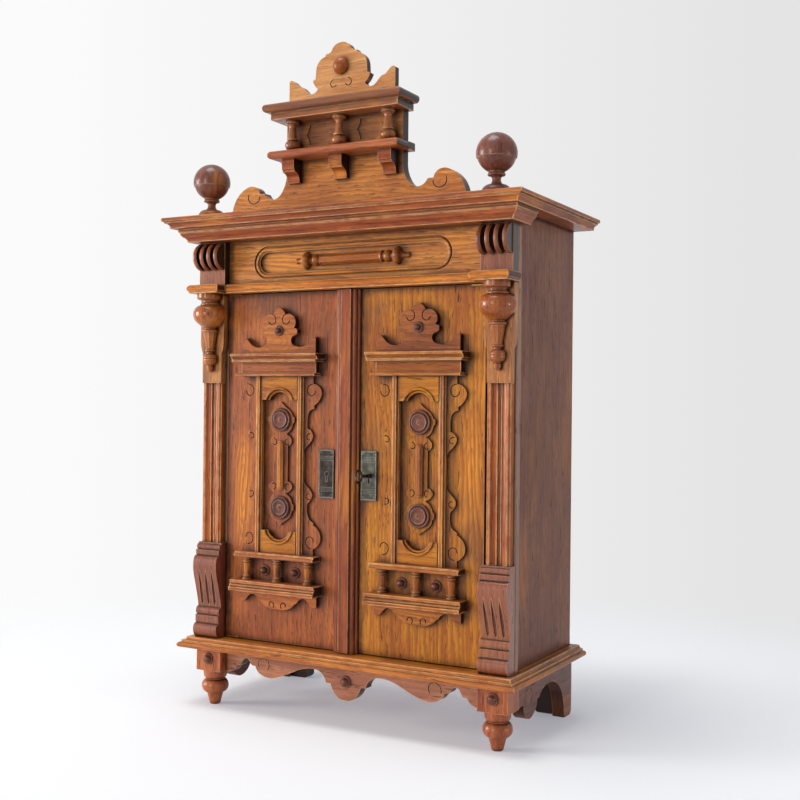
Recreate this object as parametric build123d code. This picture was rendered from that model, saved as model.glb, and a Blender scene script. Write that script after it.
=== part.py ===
from build123d import *
import math
import os

os.makedirs("parts", exist_ok=True)

# Thimble display case: a small two-door cupboard on turned feet, with a cornice,
# a galleried crest and applied sawn and turned ornament.
# Millimetres. X runs across the front (+X is the right-hand side), Y from the
# front (-Y) to the back (+Y), Z up from the floor. The origin is under the
# middle of the overall box.

# ---------------------------------------------------------------- main planes
BACK = 94.7                # rear plane of the case
SIDE_OUT = 161.0           # outer face of a side panel
SIDE_IN = 151.0            # inner face of a side panel
STILE_IN = 138.2           # inner edge of a front stile
STILE_OUT = 165.5          # outer edge of a front stile
STILE_FRONT = -50.0        # front face of a front stile
STILE_BACK = -39.0
BASE_BOTTOM = 56.6         # underside of the moulded base board
BASE_TOP = 66.5
TOP_UNDER = 398.9          # underside of the inner top board and string course
TOP_UPPER = 405.7
HEAD_UNDER = 448.6         # underside of the head rail over the frieze
CORNICE_UNDER = 460.6
CORNICE_TOP = 470.5
FRIEZE_FRONT = -54.0
FRIEZE_PANEL = -50.2       # floor of the sunk panel in the frieze
CORNER_X = 150.8           # centre of a front corner's frieze block and ball
CORNER_FRONT = -61.0       # front face of that block
PILASTER_X = 152.4         # centre of the pendant and pilaster below them
PILASTER_TOP = 312.8
CONSOLE_TOP = 157.9        # underside of a pilaster

# ---------------------------------------------------------------- doors
DOOR_FRONT = -51.5
DOOR_BACK = -41.5
DOOR_OUTER = 137.2         # hinge-side edge of either door
DOOR_BOTTOM = 67.3
DOOR_TOP = 398.2
MEETING_LEFT = 12.4        # left door's free edge, under the meeting bead
MEETING_RIGHT = 13.2       # right door's free edge
ORNAMENT_X = 74.3          # centre line of the ornament on either door
PIVOT_X = 135.8
PIVOT_Y = -49.7
PIN_R = 0.8
PIN_CLEARANCE = 0.05
PIVOT_PLATE = 1.2

# ---------------------------------------------------------------- lock and key
KEY_X = 22.7
KEY_Z = 229.0
SHANK_R = 1.5
BOLT_THROW = 7.0
LOCK_BACK = -33.5          # inner face of the lock on the right door

# ---------------------------------------------------------------- slide bolts
SLIDE_X = 4.0
SLIDE_Y = -38.5
SLIDE_R = 1.5
SLIDE_CLEARANCE = 0.05
SLIDE_THROW = 6.0

# ---------------------------------------------------------------- shelves
SHELF_COUNT = 7
SHELF_THICK = 4.0
SHELF_FRONT = -28.0
GROOVE_DEEP = 2.5
BACK_PANEL_FRONT = 89.7
BACK_PANEL_REAR = 93.7

# ---------------------------------------------------------------- crest
PEDIMENT_FRONT = -65.4
PEDIMENT_BACK = -55.4
CREST_FRONT = -70.5
CREST_BACK = -64.0
LOWER_SHELF = (517.4, 524.4)
UPPER_FILLET = (553.4, 559.7)
UPPER_SHELF = (559.7, 567.2)

# ---------------------------------------------------------------- feet
BLOCK_BOTTOM = 33.5
BLOCK_FRONT = -61.0
BLOCK_BACK = -37.2
BLOCK_IN = 136.5
BLOCK_OUT = 165.0
FOOT_X = 150.8
FOOT_Y = -49.5
APRON_FRONT = -52.0
APRON_THICK = 10.0
SIDE_APRON_OUT = 163.0
BRACKET_THICK = 12.0

INCISED_WIDE = 1.0         # sawn decoration lines
INCISED_DEEP = 1.0


# ================================================================ helpers
def block(x0, x1, y0, y1, z0, z1):
    """Straight board between two opposite corners."""
    centre = Pos((x0 + x1) / 2, (y0 + y1) / 2, (z0 + z1) / 2)
    return centre * Box(x1 - x0, y1 - y0, z1 - z0)


def outline(start, *steps):
    """Closed face. A point is a straight line, a pair of points in a list is
    an arc through the first to the second, a longer list is a smooth curve."""
    edges = []
    here = start
    for step in steps:
        if isinstance(step, list):
            if len(step) == 2:
                edges.append(ThreePointArc(here, step[0], step[1]))
            else:
                edges.append(Spline(here, *step))
            here = step[-1]
        else:
            edges.append(Line(here, step))
            here = step
    if here != start:
        edges.append(Line(here, start))
    return make_face(edges)


def both_halves(half):
    """A face drawn for +x only, joined to its mirror image."""
    return half + mirror(half, about=Plane.YZ)


def plate(face, front, back):
    """Flat piece sawn to an x-z outline, standing between two y planes."""
    return extrude(Plane.XZ.offset(-back) * face, amount=back - front)


def run_x(face, x0, x1):
    """Length of moulding along X from a y-z section."""
    return extrude(Plane.YZ.offset(x0) * face, amount=x1 - x0)


def pair(solid):
    """A right-hand piece and its left-hand mirror image."""
    return [solid, mirror(solid, about=Plane.YZ)]


def turned(start, *steps):
    """Piece turned about the Z axis from a radius-height outline."""
    return revolve(Plane.XZ * outline(start, *steps), Axis.Z)


def facing_front(solid):
    """Turns a piece made along +Z to point out of the front."""
    return Rot(90, 0, 0) * solid


def front_half(solid, flat_y):
    """The part of a turned piece that stands in front of a flat face."""
    reach = 400
    return solid & block(-reach, reach, flat_y - reach, flat_y, -reach, 2 * reach)


def bow(x, z, radius, start, sweep):
    """Narrow line along an arc, as a face. Angles are in degrees."""
    def at(r, turn):
        angle = math.radians(start + sweep * turn)
        return (x + r * math.cos(angle), z + r * math.sin(angle))

    outer = radius + INCISED_WIDE / 2
    inner = radius - INCISED_WIDE / 2
    return outline(
        at(outer, 0),
        [at(outer, 0.5), at(outer, 1)],
        at(inner, 1),
        [at(inner, 0.5), at(inner, 0)],
    )


def curl(x, z, radius, start, sweep, shrink=1.0):
    """Line that winds inwards: two arcs that meet on a common tangent."""
    first = bow(x, z, radius, start, sweep / 2)
    turn = math.radians(start + sweep / 2)
    step = radius * (1 - shrink)
    middle = (x + step * math.cos(turn), z + step * math.sin(turn))
    return first + bow(*middle, radius * shrink, start + sweep / 2, sweep / 2)


def incise(solid, lines, front):
    """Cuts narrow lines into the front face of a flat piece."""
    for line in lines:
        solid -= plate(line, front - 1, front + INCISED_DEEP)
    return solid


def dome(radius, z, high):
    """Arc of a ball centred on the axis, from a rim up to the axis."""
    ball = (radius * radius + high * high) / (2 * high)
    half = math.asin(radius / ball) / 2
    middle = (ball * math.sin(half), z + high - ball * (1 - math.cos(half)))
    return [middle, (0, z + high)]


def mitred_runs(face, x0, x1, front, back):
    """Moulding round the front and both ends of a box, mitred at its corners.
    The section is drawn as distance out from the box against height."""
    reach = 40
    tall = 700
    flipped = mirror(face, about=Plane.YZ)
    runs = [
        run_x(Pos(front, 0) * flipped, x0 - reach, x1 + reach),
        plate(Pos(x1, 0) * face, front - reach, back),
        plate(Pos(x0, 0) * flipped, front - reach, back),
    ]
    left_tip = (x0 - reach, front - reach)
    right_tip = (x1 + reach, front - reach)
    plans = [
        outline((x0, front), left_tip, right_tip, (x1, front)),
        outline((x1, front), right_tip, (x1 + reach, back), (x1, back)),
        outline((x0, front), left_tip, (x0 - reach, back), (x0, back)),
    ]
    return [run & extrude(plan, amount=tall) for run, plan in zip(runs, plans)]


def straight_shelf(half_x, front, back, z0, z1, nose):
    """Shelf with a rounded front edge and rounded ends."""
    shelf = block(-half_x, half_x, front, back, z0, z1)
    shelf = fillet(shelf.edges().filter_by(Axis.Z).group_by(Axis.Y)[0], 1.0)
    rim = [e for e in shelf.edges() if e.center().Y < back - 0.5 and is_level(e)]
    return fillet(rim, nose)


def is_level(edge):
    box = edge.bounding_box()
    return box.size.Z < 0.01


def as_solids(items):
    """Flat list of solids from shapes and lists of shapes."""
    found = []
    for item in items if isinstance(items, list) else [items]:
        if isinstance(item, list):
            found += as_solids(item)
        else:
            found += item.solids()
    return found


def save(node, items):
    """Writes one node: a lone solid, or a compound of separate solids."""
    solids = as_solids(items)
    shape = solids[0] if len(solids) == 1 else Compound(children=solids)
    export_step(shape, f"parts/{node}.step")


# ================================================================ carcass
def base_board():
    board = block(-STILE_OUT, STILE_OUT, -64.5, BACK, BASE_BOTTOM, BASE_TOP)
    board -= Pos(SLIDE_X, SLIDE_Y, BASE_TOP) * Cylinder(SLIDE_R + 0.3, 16)
    for seat in pivot_seats(BASE_TOP - PIVOT_PLATE, BASE_TOP):
        board -= seat
    return board


def pivot_seats(z0, z1):
    """Shallow housings for the two pivot plates at one level."""
    return pair(block(PIVOT_X - 13, PIVOT_X + 2, PIVOT_Y - 1.6, PIVOT_Y + 4.4, z0, z1))


def base_moulding():
    section = outline(
        (0, BASE_BOTTOM),
        (9.7, BASE_BOTTOM),
        [(12.2, 59.1), (9.7, 61.6)],
        (8.7, 61.6),
        (8.7, 63.6),
        (8.1, 63.6),
        [(6.2, 64.1), (5.3, 65.4)],
        (5.3, 66.1),
        (4.9, BASE_TOP),
        (0, BASE_TOP),
    )
    return mitred_runs(section, -STILE_OUT, STILE_OUT, -64.5, BACK)


def side_panels():
    panel = block(SIDE_IN, SIDE_OUT, STILE_BACK, BACK, BASE_TOP, CORNICE_UNDER)
    panel -= block(SIDE_IN, SIDE_IN + 5, BACK_PANEL_FRONT, BACK, BASE_TOP, CORNICE_UNDER)
    for z in shelf_levels():
        panel -= block(
            SIDE_IN, SIDE_IN + GROOVE_DEEP, SHELF_FRONT, BACK_PANEL_FRONT, z, z + SHELF_THICK
        )
    return pair(panel)


def shelf_levels():
    """Undersides of the thimble shelves, evenly spaced."""
    clear = TOP_UNDER - BASE_TOP - SHELF_COUNT * SHELF_THICK
    gap = clear / (SHELF_COUNT + 1)
    return [BASE_TOP + gap + i * (gap + SHELF_THICK) for i in range(SHELF_COUNT)]


def thimble_shelves():
    shelves = []
    for z in shelf_levels():
        shelf = block(
            -SIDE_IN, SIDE_IN, SHELF_FRONT, BACK_PANEL_FRONT, z, z + SHELF_THICK
        )
        nose = [e for e in shelf.edges().filter_by(Axis.X) if e.center().Y < 0]
        shelf = fillet(nose, 1.5)
        ends = block(
            SIDE_IN, SIDE_IN + GROOVE_DEEP, SHELF_FRONT, BACK_PANEL_FRONT, z, z + SHELF_THICK
        )
        for end in pair(ends):
            shelf += end
        shelves.append(shelf)
    return shelves


def back_panel():
    return block(
        -SIDE_IN - 5, SIDE_IN + 5, BACK_PANEL_FRONT, BACK_PANEL_REAR, BASE_TOP, CORNICE_UNDER
    )


def back_pins():
    """Round-headed pins that hold the back panel."""
    pins = []
    head = turned((0, 0), (1.7, 0), dome(1.7, 0, 0.7))
    head = Rot(-90, 0, 0) * head
    for x in (-153.0, 153.0):
        for z in (90.0, 180.0, 270.0, 360.0, 440.0):
            pins.append(Pos(x, BACK_PANEL_REAR, z) * head)
    for x in (-90.0, 0.0, 90.0):
        for z in (72.0, 454.0):
            pins.append(Pos(x, BACK_PANEL_REAR, z) * head)
    return pins


def top_board():
    board = block(-SIDE_IN, SIDE_IN, STILE_BACK, BACK_PANEL_FRONT, TOP_UNDER, TOP_UPPER)
    board += block(-STILE_IN, STILE_IN, -53.0, STILE_BACK, TOP_UNDER, TOP_UPPER)
    board -= Pos(SLIDE_X, SLIDE_Y, TOP_UNDER) * Cylinder(SLIDE_R + 0.3, 12)
    for seat in pivot_seats(TOP_UNDER, TOP_UNDER + PIVOT_PLATE):
        board -= seat
    return board


def front_stiles():
    stile = block(STILE_IN, STILE_OUT, STILE_FRONT, STILE_BACK, BASE_TOP, HEAD_UNDER)
    corner = [e for e in stile.edges().filter_by(Axis.Z) if e.center().X > STILE_OUT - 1]
    return pair(fillet(corner, 3.0))


def door_stops():
    stop = block(60, 120, DOOR_BACK + 0.3, DOOR_BACK + 5.3, BASE_TOP, BASE_TOP + 4)
    upper = Pos(0, 0, TOP_UNDER - BASE_TOP - 4) * stop
    return pair(stop) + pair(upper)


def pivot_plate(z_flat, z_up):
    """Plate let into the case, with its pin standing out towards the door."""
    low = min(z_flat, z_flat - z_up * PIVOT_PLATE)
    bar = block(
        PIVOT_X - 13, PIVOT_X + 2, PIVOT_Y - 1.6, PIVOT_Y + 4.4, low, low + PIVOT_PLATE
    )
    pin_long = 3.6
    pin = Pos(PIVOT_X, PIVOT_Y, z_flat + z_up * pin_long / 2) * Cylinder(PIN_R, pin_long)
    return bar + pin


def case_pivots():
    return pair(pivot_plate(BASE_TOP, 1)) + pair(pivot_plate(TOP_UNDER, -1))


def frieze_board():
    """Frieze with a round-ended sunk panel framed by a bead."""
    front = FRIEZE_FRONT
    half_x = 135.4
    middle = 427.2
    board = block(-half_x, half_x, front, -44.0, TOP_UPPER, HEAD_UNDER)
    centre = Pos(0, middle)
    board -= plate(centre * SlotOverall(211.2, 31.0), front - 1, front + 1.4)
    board -= plate(centre * SlotOverall(199.6, 19.4), front - 1, FRIEZE_PANEL)
    path = (Plane.XZ.offset(-front - 1.4) * (centre * SlotOverall(205.4, 25.2))).wire()
    start = Plane(origin=path @ 0, z_dir=path % 0)
    return board + sweep(start * Circle(1.6), path=path)


def frieze_spindle():
    """Split turning along X with an eight-sided middle, set a little off centre."""
    middle = 427.2
    shaft_end = 32.7
    off_centre = 1.2
    end = turned(
        (0, 30.0),
        (4.6, 30.0),
        (5.6, shaft_end),
        [(4.4, 33.5), (3.6, 34.4)],
        [(5.2, 36.4), (5.6, 38.8), (4.6, 41.2), (3.2, 42.2)],
        (3.0, 43.4),
        (4.4, 44.4),
        [(7.3, 46.2), (8.2, 48.6), (7.2, 51.0), (4.2, 52.8), (2.7, 54.4)],
        [(2.1, 56.6), (2.1, 58.2)],
        [(2.5, 59.6), (1.7, 61.0)],
        (0, 61.4),
    )
    right = Rot(0, 90, 0) * end
    shaft = Rot(0, 90, 0) * (
        Rot(0, 0, 22.5) * extrude(RegularPolygon(5.3, 8), shaft_end, both=True)
    )
    whole = right + mirror(right, about=Plane.YZ) + shaft
    whole = Pos(off_centre, FRIEZE_PANEL, middle) * whole
    return front_half(whole, FRIEZE_PANEL)


def string_course():
    """Half-round moulding, its lip lapping the frieze, that breaks forward under
    the corner blocks."""
    bulge = 2.8
    lip_top = TOP_UPPER + 1.2
    section = outline(
        (0, TOP_UNDER),
        (1.1, TOP_UNDER),
        (1.1, 400.0),
        (0.7, 400.3),
        [(bulge, 403.4), (0.7, 406.5)],
        (0.7, lip_top),
        (0, lip_top),
    )
    cap_in = 134.7
    cap_out = 166.3
    run_end = cap_in - bulge
    run_front = -63.2
    cap_front = -74.8
    run = run_x(Pos(run_front, 0) * mirror(section, about=Plane.YZ), -run_end, run_end)
    run += block(-run_end, run_end, run_front, -53.0, TOP_UNDER, TOP_UPPER)
    run += block(-run_end, run_end, run_front, FRIEZE_FRONT, TOP_UPPER, lip_top)
    cap = block(cap_in, cap_out, cap_front, STILE_FRONT, TOP_UNDER, TOP_UPPER)
    cap += block(cap_in, cap_out, cap_front, CORNER_FRONT, TOP_UPPER, lip_top)
    for piece in mitred_runs(section, cap_in, cap_out, cap_front, STILE_FRONT):
        cap += piece
    cap -= block(130.0, STILE_IN, -53.0, -30.0, TOP_UNDER, TOP_UPPER)
    cap -= block(130.0, STILE_IN, FRIEZE_FRONT, -30.0, TOP_UPPER, lip_top)
    return [run] + pair(cap)


def corner_blocks():
    """Frieze blocks, each carved with four upright flat-sided ribs."""
    front = CORNER_FRONT
    piece = block(135.6, 166.0, front, STILE_FRONT, TOP_UPPER, HEAD_UNDER)
    rib_r = 13.2
    rib_half = 2.1
    rib_round = 0.9
    rib_spacing = 8.2
    rib_proud = 13.2
    rib = turned(
        (0, -rib_half),
        (rib_r - rib_round, -rib_half),
        [(rib_r, 0), (rib_r - rib_round, rib_half)],
        (0, rib_half),
    )
    rib = Rot(0, 90, 0) * rib
    for i in range(4):
        place = Pos(CORNER_X + (i - 1.5) * rib_spacing, front - rib_proud + rib_r, 434.6)
        piece += front_half(place * rib, front)
    return pair(piece)


def pendant_plaques():
    """Boards behind the drop pendants, narrowed below a stopped chamfer."""
    right = outline(
        (0, TOP_UNDER),
        (13.9, TOP_UNDER),
        (13.9, 354.0),
        [(13.6, 349.5), (11.5, 342.0)],
        (11.2, PILASTER_TOP),
        (0, PILASTER_TOP),
    )
    board = plate(Pos(PILASTER_X, 0) * both_halves(right), -58.0, STILE_FRONT)
    return pair(board)


def drop_pendants():
    """Split-turned drops: cap, onion bulb, eight-sided shaft and acorn."""
    cap = turned(
        (0, TOP_UNDER),
        (11.6, TOP_UNDER),
        (11.6, 394.8),
        [(11.1, 393.5), (9.8, 393.0)],
        (0, 393.0),
    )
    bulb = turned(
        (0, 393.2),
        (8.6, 393.2),
        [(8.0, 391.4), (8.6, 389.6)],
        (9.8, 389.2),
        (9.8, 388.2),
        (9.0, 387.8),
        [(13.2, 386.4), (16.1, 382.6), (16.7, 378.2), (15.2, 373.6), (11.6, 369.8), (8.4, 367.2),
         (7.0, 365.8)],
        (6.4, 365.3),
        (6.4, 364.9),
        [(8.0, 363.2), (6.9, 361.4)],
        (0, 361.4),
    )
    acorn = turned(
        (0, 346.4),
        (3.8, 346.4),
        (4.0, 345.6),
        [(5.0, 344.2), (4.0, 342.9)],
        (3.2, 342.5),
        (3.3, 341.2),
        [(5.4, 340.2), (6.7, 338.2), (6.6, 336.4)],
        (5.8, 336.1),
        (6.6, 335.8),
        [(6.4, 333.4), (5.0, 331.2), (3.2, 330.2)],
        (2.7, 329.6),
        (3.3, 328.4),
        (3.0, 326.0),
        (2.1, 324.0),
        (1.0, 323.4),
        (0, 323.3),
    )
    shaft_low = 346.0
    shaft_high = 361.8
    octagon = Rot(0, 0, 22.5) * RegularPolygon(3.9, 8)
    shaft = extrude(octagon, amount=shaft_high - shaft_low, taper=-9.0)
    drop = bulb + Pos(0, 0, shaft_low) * shaft + acorn
    drop = Pos(PILASTER_X, -61.0, 0) * drop + Pos(PILASTER_X, -63.2, 0) * cap
    return pair(front_half(drop, -58.0))


def reeded_pilasters():
    """Pilasters with two coved faces that fall from raised reeds to a middle groove."""
    front = -57.2
    right = outline(
        (0, front + 3.9),
        (1.3, front + 3.7),
        (1.6, front + 1.9),
        (2.4, front + 1.9),
        (2.5, front + 2.4),
        [(4.8, front + 2.0), (7.2, front + 0.8)],
        (7.6, front),
        (8.8, front),
        (9.0, front + 1.0),
        (10.9, front + 1.0),
        (10.9, STILE_FRONT),
        (0, STILE_FRONT),
    )
    section = Pos(PILASTER_X, 0, CONSOLE_TOP) * both_halves(right)
    return pair(extrude(section, amount=PILASTER_TOP - CONSOLE_TOP))


def scroll_consoles():
    """S-shaped consoles with a roll and a band at either end and three gouged flutes."""
    outer = 165.7
    section = outline(
        (STILE_FRONT, CONSOLE_TOP),
        (-58.6, CONSOLE_TOP),
        (-58.6, 156.6),
        [(-61.0, 155.2), (-61.4, 152.2)],
        (-60.2, 151.8),
        (-60.2, 151.2),
        (-62.8, 150.8),
        (-62.8, 146.5),
        (-61.9, 146.1),
        (-61.9, 145.6),
        [(-65.0, 144.3), (-67.0, 138.5), (-66.8, 131.0), (-63.8, 119.0), (-60.6, 107.0),
         (-58.4, 95.8)],
        [(-61.0, 94.2), (-61.6, 88.9)],
        (-60.4, 88.5),
        (-60.4, 87.9),
        (-62.6, 87.5),
        (-62.6, 81.0),
        (-61.8, 80.6),
        (-61.8, 80.0),
        [(-65.4, 77.6), (-66.0, 71.6), (-62.8, BASE_TOP)],
        (STILE_FRONT, BASE_TOP),
    )
    console = run_x(section, STILE_IN, outer)
    low = Vector(0.7, -57.9, 96.6)
    high = Vector(-0.9, -66.7, 134.0)
    axis = Plane(origin=low, z_dir=(high - low))
    length = (high - low).length
    gouge = turned((0, 0), (1.3, length * 0.1), (1.6, length * 0.35), (0.9, length * 0.9), (0, length))
    for offset in (-7.4, 0.0, 7.4):
        console -= Pos((STILE_IN + outer) / 2 + offset, 0, 0) * (axis * gouge)
    return pair(console)


def on_ball(radius, middle_z, degrees):
    """Point of a turned ball's outline, by its angle above the middle."""
    angle = math.radians(degrees)
    return (radius * math.cos(angle), middle_z + radius * math.sin(angle))


def ball_finials():
    """Turned balls on waisted stems. The upper part of a ball overhangs the
    lower part by a small lip under the middle."""
    upper = 17.7
    lower = 16.9
    middle_z = 506.5
    finial = turned(
        (0, CORNICE_TOP),
        (12.8, CORNICE_TOP),
        (12.8, 474.4),
        [(11.6, 477.2), (8.6, 479.6)],
        [(4.8, 481.2), (3.8, 484.0)],
        [(4.4, 486.4), (7.2, 487.6)],
        (7.8, 488.4),
        (7.2, 489.6),
        on_ball(lower, middle_z, -66),
        [on_ball(lower, middle_z, -40), on_ball(lower, middle_z, -13)],
        on_ball(upper, middle_z, -12),
        [on_ball(upper, middle_z, 40), on_ball(upper, middle_z, 90)],
    )
    return pair(Pos(CORNER_X, -62.9, 0) * finial)


def cornice_board():
    top = block(-SIDE_OUT, SIDE_OUT, -68.2, BACK, CORNICE_UNDER, CORNICE_TOP)
    head = block(-STILE_OUT, STILE_OUT, -68.2, STILE_BACK, HEAD_UNDER, CORNICE_UNDER)
    return [top, head]


def cornice_moulding():
    """Upper cornice on three sides, and the bed moulding returned at its ends."""
    upper = outline(
        (0, CORNICE_UNDER),
        (20.3, CORNICE_UNDER),
        [(21.3, 464.1), (24.2, 465.4)],
        (24.2, 467.0),
        (26.0, 467.0),
        [(26.5, 468.7), (26.0, 470.3)],
        (25.6, CORNICE_TOP),
        (0, CORNICE_TOP),
    )
    bed = outline(
        (0, HEAD_UNDER),
        (5.8, HEAD_UNDER),
        [(6.4, 451.0), (8.4, 453.0)],
        [(10.4, 454.8), (11.0, 457.2)],
        (12.4, 457.6),
        (12.4, CORNICE_UNDER),
        (0, CORNICE_UNDER),
    )
    runs = mitred_runs(upper, -SIDE_OUT, SIDE_OUT, -68.2, BACK)
    return runs + mitred_runs(bed, -STILE_OUT, STILE_OUT, -68.2, -36.0)


# ================================================================ crest
def pediment_board():
    """Scrolled pediment and gallery back, cut from one board."""
    half = outline(
        (0, CORNICE_TOP),
        (124.4, CORNICE_TOP),
        [(123.4, 477.5), (117.0, 490.4), (110.0, 496.0), (103.0, 498.6), (96.6, 497.2),
         (92.0, 490.8)],
        (86.4, 490.8),
        [(82.8, 486.4), (77.2, 484.4)],
        [(70.6, 486.4), (65.2, 493.0), (62.2, 501.0), (61.5, 510.0)],
        (61.5, UPPER_FILLET[0]),
        (0, UPPER_FILLET[0]),
    )
    board = plate(both_halves(half), PEDIMENT_FRONT, PEDIMENT_BACK)
    lines = []
    for side in (1, -1):
        start = 180 if side > 0 else 0
        lines.append(curl(side * 98.6, 488.6, 6.8, start, side * 205, 0.95))
    board = incise(board, lines, PEDIMENT_FRONT)
    for x in (-27.0, 27.0):
        panel = outline(
            (-9.4, 9.4),
            [(-10.2, 5.0), (-12.9, 0)],
            [(-10.2, -5.0), (-9.4, -9.4)],
            (9.4, -9.4),
            [(10.2, -5.0), (12.9, 0)],
            [(10.2, 5.0), (9.4, 9.4)],
        )
        board -= plate(Pos(x, 540.8) * panel, PEDIMENT_FRONT - 1, PEDIMENT_FRONT + 1.2)
    return board


def gallery_shelves():
    """Two crest shelves, and the fillet board under the upper one."""
    lower = straight_shelf(68.4, -88.4, PEDIMENT_FRONT, *LOWER_SHELF, 3.2)
    fillet_board = block(-66.5, 66.5, -84.8, PEDIMENT_BACK, *UPPER_FILLET)
    upper = straight_shelf(72.3, -91.7, PEDIMENT_BACK, *UPPER_SHELF, 3.4)
    ends = block(61.5, 68.4, PEDIMENT_FRONT, PEDIMENT_BACK, *LOWER_SHELF)
    for end in pair(ends):
        lower += end
    return [lower, fillet_board, upper]


def gallery_balusters():
    baluster = turned(
        (0, LOWER_SHELF[1]),
        (4.9, LOWER_SHELF[1]),
        (4.9, 525.8),
        (4.3, 526.4),
        [(6.2, 528.2), (6.9, 530.8), (6.2, 533.4), (4.5, 535.0)],
        (5.3, 535.5),
        (5.3, 536.5),
        (4.4, 537.0),
        [(3.9, 540.6), (3.4, 545.6)],
        [(3.9, 548.8), (6.2, 550.8)],
        (6.4, 551.2),
        (6.4, UPPER_FILLET[0]),
        (0, UPPER_FILLET[0]),
    )
    return [Pos(x, -72.8, 0) * baluster for x in (-50.4, 0.0, 50.4)]


def gallery_corbels():
    section = outline(
        (PEDIMENT_FRONT, LOWER_SHELF[0]),
        (-79.6, LOWER_SHELF[0]),
        (-79.6, 508.4),
        (-78.0, 507.2),
        (-78.0, 505.6),
        [(-73.0, 504.2), (-70.2, 499.6)],
        (-70.2, 496.8),
        (PEDIMENT_FRONT, 496.8),
    )
    return [run_x(section, x - 6.6, x + 6.6) for x in (-50.8, 0.0, 50.8)]


def crest_board():
    half = outline(
        (0, UPPER_SHELF[1]),
        (56.0, UPPER_SHELF[1]),
        (56.0, 590.4),
        [(53.6, 591.6), (49.0, 588.6), (44.4, 585.0)],
        [(37.6, 580.2), (34.2, 577.2), (30.6, 576.6)],
        [(27.0, 578.0), (24.9, 580.6)],
        [(28.4, 584.2), (30.4, 588.6)],
        (27.4, 589.8),
        [(27.0, 596.0), (25.8, 602.0), (22.4, 606.4), (17.4, 608.9)],
        (16.2, 611.2),
        [(13.4, 611.5), (10.8, 612.8)],
        (9.2, 615.8),
        [(5.4, 618.9), (0, 620.0)],
    )
    board = plate(both_halves(half), CREST_FRONT, CREST_BACK)
    lines = [curl(s * 7.6, 583.4, 3.4, 90, -s * 250, 0.9) for s in (-1, 1)]
    return incise(board, lines, CREST_FRONT)


def crest_boss():
    """Turned boss on the crest: a low collar and most of a ball."""
    boss = turned(
        (0, 0),
        (7.6, 0),
        (7.8, 0.8),
        dome(7.8, 0.8, 6.4),
    )
    return Pos(0, CREST_FRONT, 598.4) * facing_front(boss)


def knob(disc, head, high):
    """Small turned button: a flat disc and a domed head."""
    return turned(
        (0, 0),
        (disc, 0),
        [(disc + 0.1, 0.6), (disc - 0.5, 1.2)],
        (head * 0.92, 1.2),
        (head, 2.0),
        dome(head, 2.0, high - 2.0),
    )


def turned_buttons():
    """Buttons on the front feet and in the middle of the apron."""
    button = facing_front(knob(5.4, 3.7, 4.6))
    middle = Pos(0, APRON_FRONT, 40.0) * button
    return [middle] + pair(Pos(FOOT_X, BLOCK_FRONT, 45.7) * button)


# ================================================================ plinth
def front_apron():
    half = outline(
        (0, BASE_BOTTOM),
        (BLOCK_IN, BASE_BOTTOM),
        (BLOCK_IN, BLOCK_BOTTOM),
        (132.6, BLOCK_BOTTOM),
        [(127.0, 35.6), (122.8, 40.4)],
        (119.4, 40.8),
        [(116.8, 44.4), (114.6, 47.8), (111.2, 48.6), (108.4, 46.4), (107.0, 44.0)],
        [(104.6, 42.6), (101.4, 42.4)],
        (100.8, 40.6),
        [(96.8, 36.0), (91.6, 33.6), (84.0, 32.8), (71.6, 35.8), (58.6, 41.6),
         (35.0, 47.2)],
        [(26.6, 44.8), (21.3, 36.2)],
        (16.4, 36.2),
        [(13.4, 29.8), (8.0, 24.4), (0, 22.6)],
    )
    board = plate(both_halves(half), APRON_FRONT, APRON_FRONT + APRON_THICK)
    lines = [
        curl(91.2, 43.8, 6.7, -20, 250, 0.86),
        curl(-91.2, 43.8, 6.7, 200, -250, 0.86),
    ]
    return incise(board, lines, APRON_FRONT)


def side_aprons():
    """Shaped side aprons that end in the side halves of the rear feet."""
    face = outline(
        (BLOCK_BACK, BASE_BOTTOM),
        (BLOCK_BACK, BLOCK_BOTTOM),
        (-22.0, BLOCK_BOTTOM),
        [(-19.6, 25.6), (-10.0, 18.8), (0.2, 20.8), (6.8, 26.2), (9.0, 32.8)],
        (14.2, 33.4),
        [(17.4, 36.6), (24.4, 39.6), (38.0, 41.4), (51.0, 39.2), (62.0, 33.8),
         (70.6, 25.0), (75.0, 13.0), (77.2, 0)],
        (90.2, 0),
        [(93.2, 1.6), (BACK, 5.0)],
        (BACK, BASE_BOTTOM),
    )
    apron = run_x(face, SIDE_IN, SIDE_APRON_OUT)
    line = curl(-10.8, 37.4, 9.0, 212, -290, 0.82)
    apron -= run_x(line, SIDE_APRON_OUT - INCISED_DEEP, SIDE_APRON_OUT + 1)
    return pair(apron)


def rear_brackets():
    """Rear halves of the back feet."""
    face = outline(
        (SIDE_IN, BASE_BOTTOM),
        (SIDE_IN, 0),
        (134.4, 0),
        [(131.0, 1.6), (129.6, 5.2)],
        [(128.6, 18.0), (124.0, 30.0), (114.0, 41.0), (101.0, 47.0), (96.0, BASE_BOTTOM)],
    )
    return pair(plate(face, BACK - BRACKET_THICK, BACK))


def front_feet():
    """Square block and turned foot from one piece."""
    foot = block(BLOCK_IN, BLOCK_OUT, BLOCK_FRONT, BLOCK_BACK, BLOCK_BOTTOM, BASE_BOTTOM)
    lower = turned(
        (0, 0),
        (4.4, 0),
        (5.2, 0.9),
        (7.9, 11.0),
        (8.3, 11.6),
        [(11.6, 13.6), (13.0, 17.8), (11.8, 22.4), (8.9, 24.6)],
        (8.9, 25.2),
        [(10.6, 26.6), (11.5, 29.6), (11.6, BLOCK_BOTTOM)],
        (0, BLOCK_BOTTOM),
    )
    return pair(foot + Pos(FOOT_X, FOOT_Y, 0) * lower)


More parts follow.
